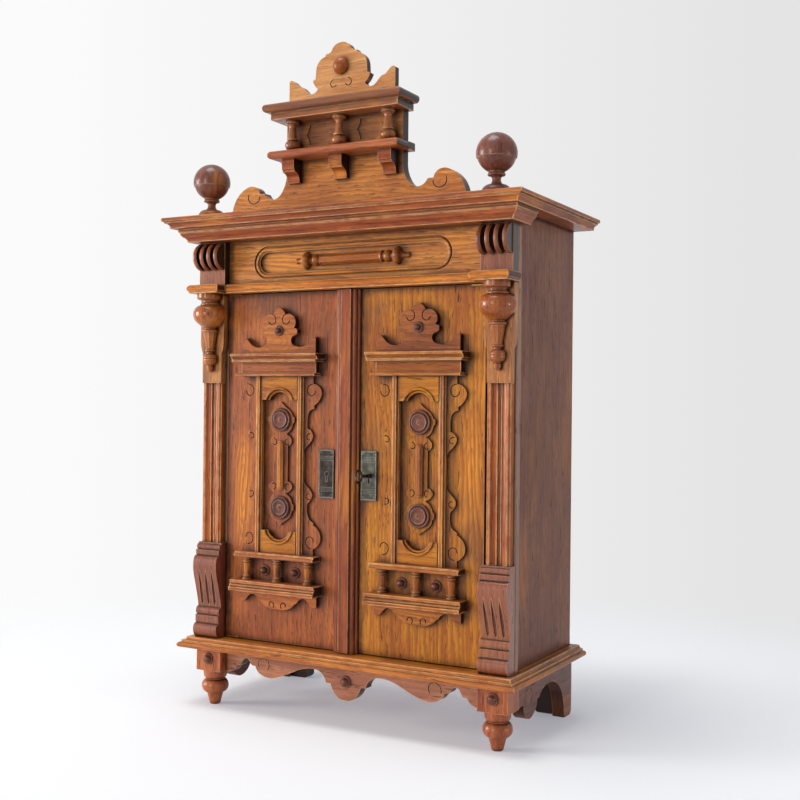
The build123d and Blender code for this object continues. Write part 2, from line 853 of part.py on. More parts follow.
# ================================================================ doors
# Ornament is drawn round x = 0 and moved to the centre line of either door.
LEDGE_UPPER = (147.4, 152.3)
LEDGE_LOWER = (115.6, 125.4)
ENTABLATURE_TOP = 340.2
ENTABLATURE_BOTTOM = 319.2
STRIP_IN = 20.0
STRIP_OUT = 27.0
FIELD_FACE = -50.2         # front of the sunk field between the strips
FRET_FRONT = -52.0         # front of the fretwork glued to that field
ARCH_R = 14.8
HEAD_ARCH = (296.8, 291.9)  # shoulder and centre of the arch over the field
FOOT_ARCH = (173.4, 177.4)


def door_boards():
    left = block(
        -DOOR_OUTER, MEETING_LEFT, DOOR_FRONT, DOOR_BACK, DOOR_BOTTOM, DOOR_TOP
    )
    right = block(
        MEETING_RIGHT, DOOR_OUTER, DOOR_FRONT, DOOR_BACK, DOOR_BOTTOM, DOOR_TOP
    )
    for plate_solid in door_pivots(-1):
        left -= housing(plate_solid)
    for plate_solid in door_pivots(1):
        right -= housing(plate_solid)
    left -= pin_bores(-1)
    right -= pin_bores(1)
    right -= plate(keyhole(), DOOR_FRONT - 1, DOOR_BACK + 1)
    left -= Pos(-ORNAMENT_X, 0, 0) * arched_field()
    right -= Pos(ORNAMENT_X, 0, 0) * arched_field()
    return left, right


def arched_field():
    """Shallow sinking with an arched head and foot, cut out of a door's board."""
    bottom = FOOT_ARCH[0]
    tall = HEAD_ARCH[0] - bottom
    field = Pos(0, bottom + tall / 2) * Rectangle(2 * STRIP_IN, tall)
    for _, centre in (HEAD_ARCH, FOOT_ARCH):
        field += Pos(0, centre) * Circle(ARCH_R)
    return plate(field, DOOR_FRONT - 1, FIELD_FACE)


def keyhole():
    """Round hole with a slot below for the bit."""
    hole = Pos(KEY_X, KEY_Z) * Circle(SHANK_R + 0.5)
    return hole + Pos(KEY_X, KEY_Z - 3.6) * Rectangle(1.8, 7.2)


def door_pivots(side):
    """Plates in the top and bottom edges of one door, bored for the pins."""
    plates = []
    for low in (DOOR_BOTTOM, DOOR_TOP - PIVOT_PLATE):
        bar = block(
            PIVOT_X - 13, DOOR_OUTER, DOOR_FRONT, PIVOT_Y + 4.4, low, low + PIVOT_PLATE
        )
        bore = Pos(PIVOT_X, PIVOT_Y, low) * Cylinder(PIN_R + PIN_CLEARANCE, 6)
        plates.append(bar - bore)
    if side > 0:
        return plates
    return [mirror(p, about=Plane.YZ) for p in plates]


def housing(plate_solid):
    """Plain recess with the outside size of a pivot plate."""
    box = plate_solid.bounding_box()
    return block(box.min.X, box.max.X, box.min.Y, box.max.Y, box.min.Z, box.max.Z)


def pin_bores(side):
    """Clearance in the door above and below its pivot plates."""
    bore = Cylinder(PIN_R + 0.2, 8)
    low = Pos(side * PIVOT_X, PIVOT_Y, DOOR_BOTTOM) * bore
    return low + Pos(side * PIVOT_X, PIVOT_Y, DOOR_TOP) * bore


def door_crestings():
    """Sawn cresting over the entablature and sawn apron under the lower ledge."""
    crest_front = -57.0
    half = outline(
        (0, ENTABLATURE_TOP),
        (41.2, ENTABLATURE_TOP),
        (41.2, 354.6),
        [(39.6, 355.8), (36.0, 353.6), (34.0, 351.4)],
        [(29.4, 347.6), (24.0, 346.4), (18.6, 347.4)],
        [(14.6, 349.6), (13.6, 353.0), (15.4, 356.4), (18.4, 357.6)],
        (20.4, 359.2),
        (20.4, 363.0),
        (16.6, 364.4),
        [(18.6, 368.8), (17.4, 373.6), (13.4, 377.0), (7.2, 377.1)],
        [(5.0, 380.4), (0, 383.8)],
    )
    upper = plate(both_halves(half), crest_front, DOOR_FRONT)
    lines = []
    for side in (-1, 1):
        start = 100 if side > 0 else 80
        lines.append(curl(side * 8.6, 372.6, 4.9, start, side * 250, 0.8))
    upper = incise(upper, lines, crest_front)
    apron_front = -55.4
    half = outline(
        (0, LEDGE_LOWER[0]),
        (43.6, LEDGE_LOWER[0]),
        (43.6, 105.6),
        [(41.4, 104.4), (36.4, 106.4), (33.6, 109.6), (29.0, 112.0)],
        [(25.0, 110.6), (21.6, 106.6)],
        (19.4, 106.0),
        [(15.0, 101.8), (9.0, 99.6), (0, 99.4)],
    )
    lower = plate(both_halves(half), apron_front, DOOR_FRONT)
    lines = []
    for side in (-1, 1):
        start = -50 if side < 0 else 230
        lines.append(curl(side * 6.8, 103.0, 3.0, start, -side * 260, 0.85))
    lower = incise(lower, lines, apron_front)
    return [upper, lower]


def ledge(half_x, section):
    """Small projecting moulding across the ornament, with square ends."""
    return run_x(section, -half_x, half_x)


def door_mouldings():
    """Entablature and the two ledges that hold the row of balusters."""
    lip = 334.4
    crown = outline(
        (DOOR_FRONT, ENTABLATURE_TOP),
        (-68.6, ENTABLATURE_TOP),
        (-68.6, 338.0),
        [(-66.2, 336.8), (-65.6, lip)],
        (DOOR_FRONT, lip),
    )
    foot = outline(
        (DOOR_FRONT, 321.8),
        (-63.4, 321.8),
        [(-64.6, 320.5), (-63.4, ENTABLATURE_BOTTOM)],
        (DOOR_FRONT, ENTABLATURE_BOTTOM),
    )
    upper = outline(
        (DOOR_FRONT, LEDGE_UPPER[1]),
        (-62.8, LEDGE_UPPER[1]),
        (-62.8, 150.8),
        (-63.6, 150.4),
        [(-64.6, 149.0), (-63.6, LEDGE_UPPER[0])],
        (DOOR_FRONT, LEDGE_UPPER[0]),
    )
    lower = outline(
        (DOOR_FRONT, LEDGE_LOWER[1]),
        (-66.6, LEDGE_LOWER[1]),
        (-66.6, 122.8),
        (-65.2, 122.2),
        (-65.2, 121.4),
        [(-67.2, 120.4), (-66.2, 119.2)],
        (-68.4, 118.8),
        (-68.4, LEDGE_LOWER[0]),
        (DOOR_FRONT, LEDGE_LOWER[0]),
    )
    return [
        ledge(48.4, crown),
        block(-47.4, 47.4, -67.0, DOOR_FRONT, 332.4, lip),
        block(-42.4, 42.4, -58.0, DOOR_FRONT, 321.8, 332.4),
        ledge(44.6, foot),
        ledge(44.6, upper),
        ledge(47.6, lower),
    ]


def door_strips():
    """Upright moulded strips beside the arched field."""
    half = outline(
        (0, DOOR_FRONT),
        (3.5, DOOR_FRONT),
        (3.5, -54.6),
        [(2.95, -55.15), (2.4, -54.6)],
        (1.9, -54.6),
        (1.7, -56.8),
        (0, -56.8),
    )
    centre = (STRIP_IN + STRIP_OUT) / 2
    section = Pos(centre, 0) * both_halves(half)
    z0 = LEDGE_UPPER[1]
    strip = extrude(Plane.XY.offset(z0) * section, amount=ENTABLATURE_BOTTOM - z0)
    return pair(strip)


def door_spandrels():
    """Head and foot of the arched field, each with two beads round its curve."""
    front = -55.6
    pieces = []
    for z_edge, (z_shoulder, z_centre) in (
        (ENTABLATURE_BOTTOM, HEAD_ARCH),
        (LEDGE_UPPER[1], FOOT_ARCH),
    ):
        low = min(z_edge, z_shoulder)
        high = max(z_edge, z_shoulder)
        board = block(-STRIP_IN, STRIP_IN, front, DOOR_FRONT, low, high)
        hole = Pos(0, z_centre) * Circle(ARCH_R)
        board -= plate(hole, front - 1, DOOR_FRONT + 1)
        for ring_r, ring_y in ((ARCH_R + 1.1, front + 0.1), (ARCH_R - 1.2, front + 1.7)):
            bead = Pos(0, ring_y, z_centre) * (Rot(90, 0, 0) * Torus(ring_r, 1.3))
            board += bead & block(-STRIP_IN, STRIP_IN, front - 2, DOOR_FRONT, low, high)
        pieces.append(board)
    return pieces


def door_frets():
    """Thin fretwork: the pierced plate in the arched field and the outer wings."""
    front = FRET_FRONT
    half = outline(
        (0, 295.0),
        [(4.0, 291.2), (9.0, 287.6), (13.2, 281.4)],
        (15.3, 280.4),
        (15.3, 276.8),
        (13.4, 274.6),
        [(11.4, 269.6), (5.6, 264.6)],
        [(10.0, 262.4), (12.2, 257.8), (10.4, 254.4), (7.9, 253.6)],
        (7.9, 219.8),
        [(11.4, 218.6), (13.2, 215.2), (10.6, 211.2), (5.4, 208.6)],
        [(10.8, 204.8), (13.2, 199.4)],
        (14.9, 198.0),
        (14.9, 193.6),
        (12.9, 192.2),
        [(11.0, 187.0), (5.0, 182.4), (0, 178.4)],
    )
    centre = plate(both_halves(half), front, FIELD_FACE)
    lines = []
    for side in (-1, 1):
        start = 90
        lines.append(curl(side * 7.8, 257.2, 3.0, start, side * 240, 0.8))
        lines.append(curl(side * 8.0, 215.4, 3.0, -start, -side * 240, 0.8))
    centre = incise(centre, lines, front)
    wing_front = -53.6
    upper = outline(
        (STRIP_OUT, ENTABLATURE_BOTTOM),
        (37.0, ENTABLATURE_BOTTOM),
        (37.0, 312.0),
        [(42.4, 310.2), (46.2, 304.8), (44.8, 298.4), (38.2, 292.2)],
        (38.2, 288.8),
        [(33.0, 286.4), (30.7, 279.0), (30.7, 270.2)],
        [(34.8, 268.2), (37.1, 263.4), (35.2, 258.8), (30.4, 253.8)],
        (28.0, 250.8),
        (STRIP_OUT, 246.0),
    )
    lower = outline(
        (STRIP_OUT, 224.0),
        (28.0, 220.2),
        [(34.6, 212.8), (36.8, 208.6), (34.8, 203.8), (31.4, 200.4)],
        [(31.1, 193.0), (33.0, 187.0), (38.2, 183.0)],
        (38.4, 180.4),
        [(44.6, 174.8), (46.2, 167.8), (43.4, 161.8), (38.2, 158.6)],
        (38.2, LEDGE_UPPER[1]),
        (STRIP_OUT, LEDGE_UPPER[1]),
    )
    upper = incise(
        plate(upper, wing_front, DOOR_FRONT),
        [curl(36.2, 306.2, 5.6, 85, 285, 0.72), curl(33.4, 262.4, 3.2, 60, 250, 0.7)],
        wing_front,
    )
    lower = incise(
        plate(lower, wing_front, DOOR_FRONT),
        [curl(35.6, 164.6, 5.6, -85, -285, 0.72), curl(33.2, 207.4, 3.2, -60, -250, 0.7)],
        wing_front,
    )
    return [centre] + pair(upper) + pair(lower)


def door_rosettes():
    """Dark turned pieces: two dished rosettes, two buttons and the cresting boss."""
    rosette = turned(
        (0, 0),
        (10.6, 0),
        [(10.5, 1.6), (9.1, 1.8)],
        (8.6, 0.9),
        (8.0, 1.1),
        [(7.7, 2.6), (6.8, 2.7)],
        (6.3, 1.9),
        (2.6, 1.6),
        (2.2, 2.1),
        (0, 2.3),
    )
    rosette = facing_front(rosette)
    rosettes = [Pos(0, FRET_FRONT, z) * rosette for z in (278.2, 195.4)]
    button = facing_front(knob(5.3, 3.4, 5.2))
    buttons = [Pos(x, DOOR_FRONT, 134.8) * button for x in (-17.3, 17.3)]
    boss = Pos(0, -57.0, 362.0) * facing_front(knob(4.8, 2.7, 4.4))
    return rosettes + buttons + [boss]


def door_turnings():
    """Faceted spindle and the row of three balusters."""
    octagon = extrude(RegularPolygon(3.7, 8), amount=46.0)
    spindle = Rot(0, 0, 22.5) * octagon
    taper = turned((0, 0), (2.6, 0), (3.9, 4.0), (3.9, 42.0), (2.6, 46.0), (0, 46.0))
    flat = FRET_FRONT
    spindle = front_half(Pos(0, flat, 212.2) * (spindle & taper), flat)
    z0 = LEDGE_LOWER[1]
    z1 = LEDGE_UPPER[0]
    baluster = turned(
        (0, z0),
        (4.3, z0),
        (4.3, z0 + 1.6),
        (3.0, z0 + 2.0),
        (3.0, z0 + 2.8),
        [(4.0, z0 + 3.6), (3.0, z0 + 4.4)],
        (2.6, z0 + 4.9),
        (2.7, z0 + 5.4),
        [(3.2, z0 + 11.0), (3.3, z1 - 6.4)],
        (2.6, z1 - 5.8),
        (2.6, z1 - 5.0),
        [(4.0, z1 - 4.2), (3.0, z1 - 3.4)],
        (3.0, z1 - 2.4),
        (4.3, z1 - 2.0),
        (4.3, z1),
        (0, z1),
    )
    return [spindle] + [Pos(x, -56.4, 0) * baluster for x in (-34.6, 0.0, 34.6)]


def on_door(items, side):
    """Moves ornament drawn round x = 0 to one door."""
    return [Pos(side * ORNAMENT_X, 0, 0) * s for s in as_solids(items)]


def meeting_bead():
    """Moulded strip on the left door that covers the join."""
    half = outline(
        (0, DOOR_FRONT),
        (12.4, DOOR_FRONT),
        (12.4, -52.8),
        [(11.4, -54.2), (9.8, -53.6)],
        [(8.8, -56.6), (6.0, -56.6)],
        (5.4, -56.2),
        (5.2, -58.4),
        (0, -58.4),
    )
    section = both_halves(half)
    return extrude(Plane.XY.offset(DOOR_BOTTOM) * section, amount=DOOR_TOP - DOOR_BOTTOM)


def escutcheon(side, pierced):
    """Metal plate with a raised rim, two ridges near either end and a pin in
    each corner."""
    front = DOOR_FRONT - 1.2
    half_x = 8.0
    half_z = 22.4
    rim = 0.9
    x = side * KEY_X
    centre = Pos(x, KEY_Z)
    whole = centre * RectangleRounded(2 * half_x, 2 * half_z, 0.8)
    inside = centre * Rectangle(2 * (half_x - rim), 2 * (half_z - rim))
    panel = plate(whole, front, DOOR_FRONT) + plate(whole - inside, front - 0.5, front)
    for z in (-15.6, -13.1, 13.1, 15.6):
        ridge = Rot(0, 90, 0) * Cylinder(0.6, 2 * half_x - rim)
        panel += front_half(Pos(x, front, KEY_Z + z) * ridge, front + 0.3)
    if pierced:
        panel -= plate(keyhole(), front - 3, DOOR_FRONT + 1)
    else:
        mark = Pos(x - KEY_X, 0) * keyhole()
        panel -= plate(mark, front - 3, front + 0.7)
    pins = []
    for dx in (-5.6, 5.6):
        for dz in (-19.6, 19.6):
            head = facing_front(turned((0, 0), (0.9, 0), dome(0.9, 0, 0.5)))
            pins.append(Pos(x + dx, front, KEY_Z + dz) * head)
    return [panel] + pins


# ================================================================ lock
LOCK_X = (14.0, 48.0)
LOCK_Z = (209.0, 249.0)
BOLT_Z = (236.5, 243.5)
BOLT_Y = (-39.4, -36.0)


def lock_case():
    """Box on the inside of the right door, with its cap plate."""
    wall = 1.6
    cap = 1.2
    case = block(*LOCK_X, DOOR_BACK, LOCK_BACK - cap, *LOCK_Z)
    case -= block(
        LOCK_X[0] + wall,
        LOCK_X[1] - wall,
        DOOR_BACK + wall,
        LOCK_BACK - cap,
        LOCK_Z[0] + wall,
        LOCK_Z[1] - wall,
    )
    gap = 0.2
    case -= block(
        LOCK_X[0] - 1,
        LOCK_X[0] + wall + 1,
        BOLT_Y[0] - gap,
        BOLT_Y[1] + gap,
        BOLT_Z[0] - gap,
        BOLT_Z[1] + gap,
    )
    case -= plate(keyhole(), DOOR_BACK - 1, DOOR_BACK + wall + 1)
    lid = block(*LOCK_X, LOCK_BACK - cap, LOCK_BACK, *LOCK_Z)
    screws = []
    for x in (LOCK_X[0] + 3, LOCK_X[1] - 3):
        for z in (LOCK_Z[0] + 3, LOCK_Z[1] - 3):
            head = Rot(-90, 0, 0) * turned((0, 0), (1.6, 0), dome(1.6, 0, 0.8))
            screws.append(Pos(x, LOCK_BACK, z) * head)
    return [case, lid] + screws


def lock_bolt():
    """Sliding bolt, drawn withdrawn with its end level with the case."""
    return block(LOCK_X[0], 40.0, *BOLT_Y, *BOLT_Z)


def key():
    """Key in the lock: ring bow, collar, shank and bit."""
    bow = Pos(KEY_X, -71.2, KEY_Z) * (Rot(0, 90, 0) * Torus(5.4, 1.15))
    shank_y = (-66.4, -36.2)
    middle = (shank_y[0] + shank_y[1]) / 2
    shank = Rot(90, 0, 0) * Cylinder(SHANK_R, shank_y[1] - shank_y[0])
    shank = Pos(KEY_X, middle, KEY_Z) * shank
    collar = Pos(KEY_X, -55.0, KEY_Z) * (Rot(90, 0, 0) * Cylinder(2.4, 1.6))
    bit = block(KEY_X - 0.6, KEY_X + 0.6, -39.2, -36.2, KEY_Z - 6.0, KEY_Z)
    return bow + shank + collar + bit


def strike_box():
    """Keeper on the inside of the left door that takes the lock bolt."""
    keeper = block(1.0, 12.0, DOOR_BACK, -34.2, 233.6, 246.4)
    keeper -= block(3.6, 13.0, BOLT_Y[0] - 0.5, BOLT_Y[1] + 0.5, 236.0, 244.0)
    return keeper


# ================================================================ slide bolts
UPPER_GUIDES = (352.0, 390.0)
LOWER_GUIDES = (75.5, 113.5)
GUIDE_LONG = 5.0


def slide_guides():
    """Bored guides screwed to the inside of the left door."""
    guides = []
    for z in UPPER_GUIDES + LOWER_GUIDES:
        guide = block(
            SLIDE_X - 4.0, SLIDE_X + 4.0, DOOR_BACK, -35.8, z - GUIDE_LONG / 2, z + GUIDE_LONG / 2
        )
        bore = Pos(SLIDE_X, SLIDE_Y, z) * Cylinder(SLIDE_R + SLIDE_CLEARANCE, 2 * GUIDE_LONG)
        guides.append(guide - bore)
    return guides


def slide_bolt(z0, z1, knob_z):
    """Round bolt with a finger knob between its guides."""
    rod = Pos(SLIDE_X, SLIDE_Y, (z0 + z1) / 2) * Cylinder(SLIDE_R, z1 - z0)
    rod = chamfer(rod.edges().filter_by(GeomType.CIRCLE), 0.4)
    head = turned((0, 0), (1.3, 0), (1.3, 4.4), [(2.3, 5.6), (1.3, 6.8)], (0, 6.8))
    head = Rot(-90, 0, 0) * head
    return rod + Pos(SLIDE_X, SLIDE_Y, knob_z) * head


# ================================================================ write nodes
save("base_board", base_board())
save("base_moulding", base_moulding())
save("side_panels", side_panels())
save("back_panel", back_panel())
save("back_pins", back_pins())
save("top_board", top_board())
save("front_stiles", front_stiles())
save("door_stops", door_stops())
save("case_pivots", case_pivots())
save("thimble_shelves", thimble_shelves())
save("frieze_board", frieze_board())
save("frieze_spindle", frieze_spindle())
save("string_course", string_course())
save("corner_blocks", corner_blocks())
save("pendant_plaques", pendant_plaques())
save("drop_pendants", drop_pendants())
save("reeded_pilasters", reeded_pilasters())
save("scroll_consoles", scroll_consoles())
save("ball_finials", ball_finials())
save("cornice_board", cornice_board())
save("cornice_moulding", cornice_moulding())
save("pediment_board", pediment_board())
save("gallery_shelves", gallery_shelves())
save("gallery_balusters", gallery_balusters())
save("gallery_corbels", gallery_corbels())
save("crest_board", crest_board())
save("crest_boss", crest_boss())
save("turned_buttons", turned_buttons())
save("front_apron", front_apron())
save("side_aprons", side_aprons())
save("rear_brackets", rear_brackets())
save("front_feet", front_feet())

left_board, right_board = door_boards()
save("left_door_board", left_board)
save("right_door_board", right_board)
for name, side in (("left", -1), ("right", 1)):
    save(f"{name}_door_crestings", on_door(door_crestings(), side))
    save(f"{name}_door_mouldings", on_door(door_mouldings(), side))
    save(f"{name}_door_strips", on_door(door_strips(), side))
    save(f"{name}_door_spandrels", on_door(door_spandrels(), side))
    save(f"{name}_door_frets", on_door(door_frets(), side))
    save(f"{name}_door_rosettes", on_door(door_rosettes(), side))
    save(f"{name}_door_turnings", on_door(door_turnings(), side))
    save(f"{name}_door_pivots", door_pivots(side))
save("left_escutcheon", escutcheon(-1, False))
save("right_escutcheon", escutcheon(1, True))
save("meeting_bead", meeting_bead())
save("strike_box", strike_box())
save("slide_guides", slide_guides())
save("upper_slide_bolt", slide_bolt(344.0, 397.4, 371.0))
save("lower_slide_bolt", slide_bolt(68.1, 121.5, 94.5))
save("lock_case", lock_case())
save("lock_bolt", lock_bolt())
save("key", key())
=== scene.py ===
"""Visual model of the thimble display case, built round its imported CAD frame.

Every shape of the case comes from the frame. This script adds the camera, the oak
and metal materials, the backdrop and the lamps.
"""

import math

import bpy
from mathutils import Matrix, Vector

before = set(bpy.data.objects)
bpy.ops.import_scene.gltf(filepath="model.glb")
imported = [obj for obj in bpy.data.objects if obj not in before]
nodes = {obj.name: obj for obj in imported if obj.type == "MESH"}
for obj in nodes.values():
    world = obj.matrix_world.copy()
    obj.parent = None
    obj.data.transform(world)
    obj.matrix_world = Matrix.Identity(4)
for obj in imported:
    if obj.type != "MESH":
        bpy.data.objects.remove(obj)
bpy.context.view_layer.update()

MM = 0.001

# ---------------------------------------------------------------- camera
CAMERA_PLACE = Vector((0.5555, -0.9593, 0.2943))
CAMERA_YAW = math.radians(28.94)
CAMERA_PITCH = math.radians(0.19)
CAMERA_ROLL = math.radians(0.58)
SENSOR_MM = 36.0
LENS_MM = 52.3


def add_camera():
    forward = Vector((
        -math.sin(CAMERA_YAW) * math.cos(CAMERA_PITCH),
        math.cos(CAMERA_YAW) * math.cos(CAMERA_PITCH),
        math.sin(CAMERA_PITCH),
    ))
    level = Vector((math.cos(CAMERA_YAW), math.sin(CAMERA_YAW), 0.0))
    above = level.cross(forward)
    right = math.cos(CAMERA_ROLL) * level + math.sin(CAMERA_ROLL) * above
    up = math.cos(CAMERA_ROLL) * above - math.sin(CAMERA_ROLL) * level
    data = bpy.data.cameras.new("camera")
    data.sensor_width = SENSOR_MM
    data.lens = LENS_MM
    camera = bpy.data.objects.new("camera", data)
    turn = Matrix((right, up, -forward)).transposed().to_4x4()
    camera.matrix_world = Matrix.Translation(CAMERA_PLACE) @ turn
    bpy.context.scene.collection.objects.link(camera)
    bpy.context.scene.camera = camera


# ---------------------------------------------------------------- node helpers
EDGE_SAMPLES = 4
HOLLOW_SAMPLES = 6
# sockets of a Mix node for each kind of data: its two inputs and its result
MIX_SOCKETS = {"RGBA": (6, 7, 2), "VECTOR": (4, 5, 1)}


class Nodes:
    """Short calls for building a node tree."""

    def __init__(self, tree):
        self.tree = tree

    def add(self, kind, **settings):
        node = self.tree.nodes.new(kind)
        for key, value in settings.items():
            setattr(node, key, value)
        return node

    def put(self, socket, value):
        """Links an output to the socket or sets its value. None leaves it alone."""
        if isinstance(value, bpy.types.NodeSocket):
            self.tree.links.new(value, socket)
        elif value is not None:
            socket.default_value = value

    def math(self, operation, a, b=None, clamp=False):
        node = self.add("ShaderNodeMath", operation=operation, use_clamp=clamp)
        self.put(node.inputs[0], a)
        self.put(node.inputs[1], b)
        return node.outputs[0]

    def vector(self, operation, a, b=None):
        node = self.add("ShaderNodeVectorMath", operation=operation)
        self.put(node.inputs[0], a)
        self.put(node.inputs[1], b)
        return node.outputs["Value" if operation in ("DOT_PRODUCT", "LENGTH") else "Vector"]

    def split(self, vector):
        node = self.add("ShaderNodeSeparateXYZ")
        self.put(node.inputs[0], vector)
        return node.outputs

    def noise(self, place, stretch, detail, rough):
        """Noise with so many waves to a unit of the place along each of its axes."""
        node = self.add("ShaderNodeTexNoise")
        self.put(node.inputs["Vector"], self.vector("MULTIPLY", place, stretch))
        self.put(node.inputs["Scale"], 1.0)
        self.put(node.inputs["Detail"], detail)
        self.put(node.inputs["Roughness"], rough)
        return node.outputs[0]

    def ramp(self, value, low, high, out_low=0.0, out_high=1.0, smooth=True):
        """Goes from out_low to out_high as the value goes from low to high."""
        node = self.add("ShaderNodeMapRange")
        node.interpolation_type = "SMOOTHSTEP" if smooth else "LINEAR"
        for name, item in (
            ("Value", value),
            ("From Min", low),
            ("From Max", high),
            ("To Min", out_low),
            ("To Max", out_high),
        ):
            self.put(node.inputs[name], item)
        return node.outputs[0]

    def mix(self, factor, a, b, kind="RGBA"):
        first, second, result = MIX_SOCKETS[kind]
        node = self.add("ShaderNodeMix", data_type=kind)
        self.put(node.inputs[0], factor)
        self.put(node.inputs[first], a)
        self.put(node.inputs[second], b)
        return node.outputs[result]

    def mix_shader(self, factor, a, b):
        node = self.add("ShaderNodeMixShader")
        for socket, value in zip(node.inputs, (factor, a, b)):
            self.put(socket, value)
        return node.outputs[0]

    def rounded(self, radius):
        """The normal that the faces would have with their edges rounded."""
        node = self.add("ShaderNodeBevel", samples=EDGE_SAMPLES)
        self.put(node.inputs["Radius"], radius)
        return node.outputs[0]

    def arris(self, radius, span, strength=1.0):
        """From 0 on the flat to strength on the edges."""
        normal = self.add("ShaderNodeNewGeometry").outputs["Normal"]
        turned = self.vector("DOT_PRODUCT", self.rounded(radius), normal)
        return self.ramp(turned, *span, 0.0, strength)

    def openness(self, reach, normal=None):
        """From 0 deep in a corner to 1 where nothing stands within reach."""
        node = self.add("ShaderNodeAmbientOcclusion", samples=HOLLOW_SAMPLES)
        self.put(node.inputs["Distance"], reach)
        self.put(node.inputs["Normal"], normal)
        return node.outputs["AO"]

    def relief(self, shader, height, strength, depth, edge_radius):
        """Fine relief on faces whose edges are slightly rounded."""
        node = self.add("ShaderNodeBump")
        self.put(node.inputs["Strength"], strength)
        self.put(node.inputs["Distance"], depth)
        self.put(node.inputs["Height"], height)
        self.put(node.inputs["Normal"], self.rounded(edge_radius))
        self.put(shader.inputs["Normal"], node.outputs[0])


def srgb(red, green, blue):
    """Linear colour from the 0 to 255 values that a screen shows."""
    def linear(value):
        value = value / 255
        return value / 12.92 if value <= 0.04045 else ((value + 0.055) / 1.055) ** 2.4

    return (linear(red), linear(green), linear(blue), 1.0)


def new_material(name):
    material = bpy.data.materials.new(name)
    material.use_nodes = True
    tree = material.node_tree
    tree.nodes.clear()
    build = Nodes(tree)
    shader = build.add("ShaderNodeBsdfPrincipled")
    output = build.add("ShaderNodeOutputMaterial")
    build.put(output.inputs["Surface"], shader.outputs[0])
    return material, build, shader, output


# ---------------------------------------------------------------- figure of the oak
# It is worked out in millimetres, with Z along the grain. A stretch is the number
# of waves to a millimetre across, through and along the grain. A span says where a
# value starts to count and where it counts in full.
SWAY = (0.028, 0.028, 0.006)
SWAY_MM = 34.0
RIPPLE = (0.11, 0.11, 0.016)
RIPPLE_MM = 6.0
CONE_SLOPE = 0.045
RINGS_TO_MM = 0.19
LATE_STARTS = (0.3, 0.92)
LATE_ENDS = (1.0, 0.94)
EARLY_WOOD = (0.55, 0.0)

# fine ticks and long vessels: stretch, detail of the noise, how rare they are, how
# much less rare in the early wood, and how soft their edges are
PORES = (
    ((1.9, 1.9, 0.11), 1.0, 0.66, 0.12, 0.07),
    ((0.85, 0.85, 0.04), 2.0, 0.69, 0.15, 0.09),
)

STREAK = (0.30, 0.30, 0.009)
STREAK_SHARE = 0.8
CLOUD = (0.022, 0.022, 0.011)
CLOUD_SHARE = 0.9
LIGHT_SPAN = (0.66, 1.04)
RING_STRENGTH = 0.5
FIBRE = (3.2, 3.2, 0.10)
FIBRE_SPAN = (0.7, 0.35)
FIBRE_STRENGTH = 0.26
PORE_STRENGTH = 0.85

VARNISH = (0.019, 0.019, 0.008)
THIN_SPAN = (0.46, 0.26)
SMOKY_SPAN = (0.53, 0.74)
VARNISH_STRENGTH = 0.55

PORE_TONE = (48, 18, 8)
HONEY_TONE = (218, 138, 40)
LATE_HONEY_TONE = (160, 88, 28)
SMOKY_TONE = (84, 50, 38)
# tone of end grain, which also paints the shade on faces turned from the lamps
SOAKED_AND_SHADE_TONE = (30, 14, 10)
# tone of the grime, which also paints the shade in corners and to the right of raised parts
GRIME_AND_SHADE_TONE = (27, 12, 8)

WAX_SPAN = (0.3, 0.75)
WAX_ROUGHNESS = (0.37, 0.28)
PORE_ROUGHNESS = 0.25
GRIME_AND_SHADE_ROUGHNESS = 0.15
FIBRE_HEIGHT = 0.25
LATE_DEPTH = 0.25


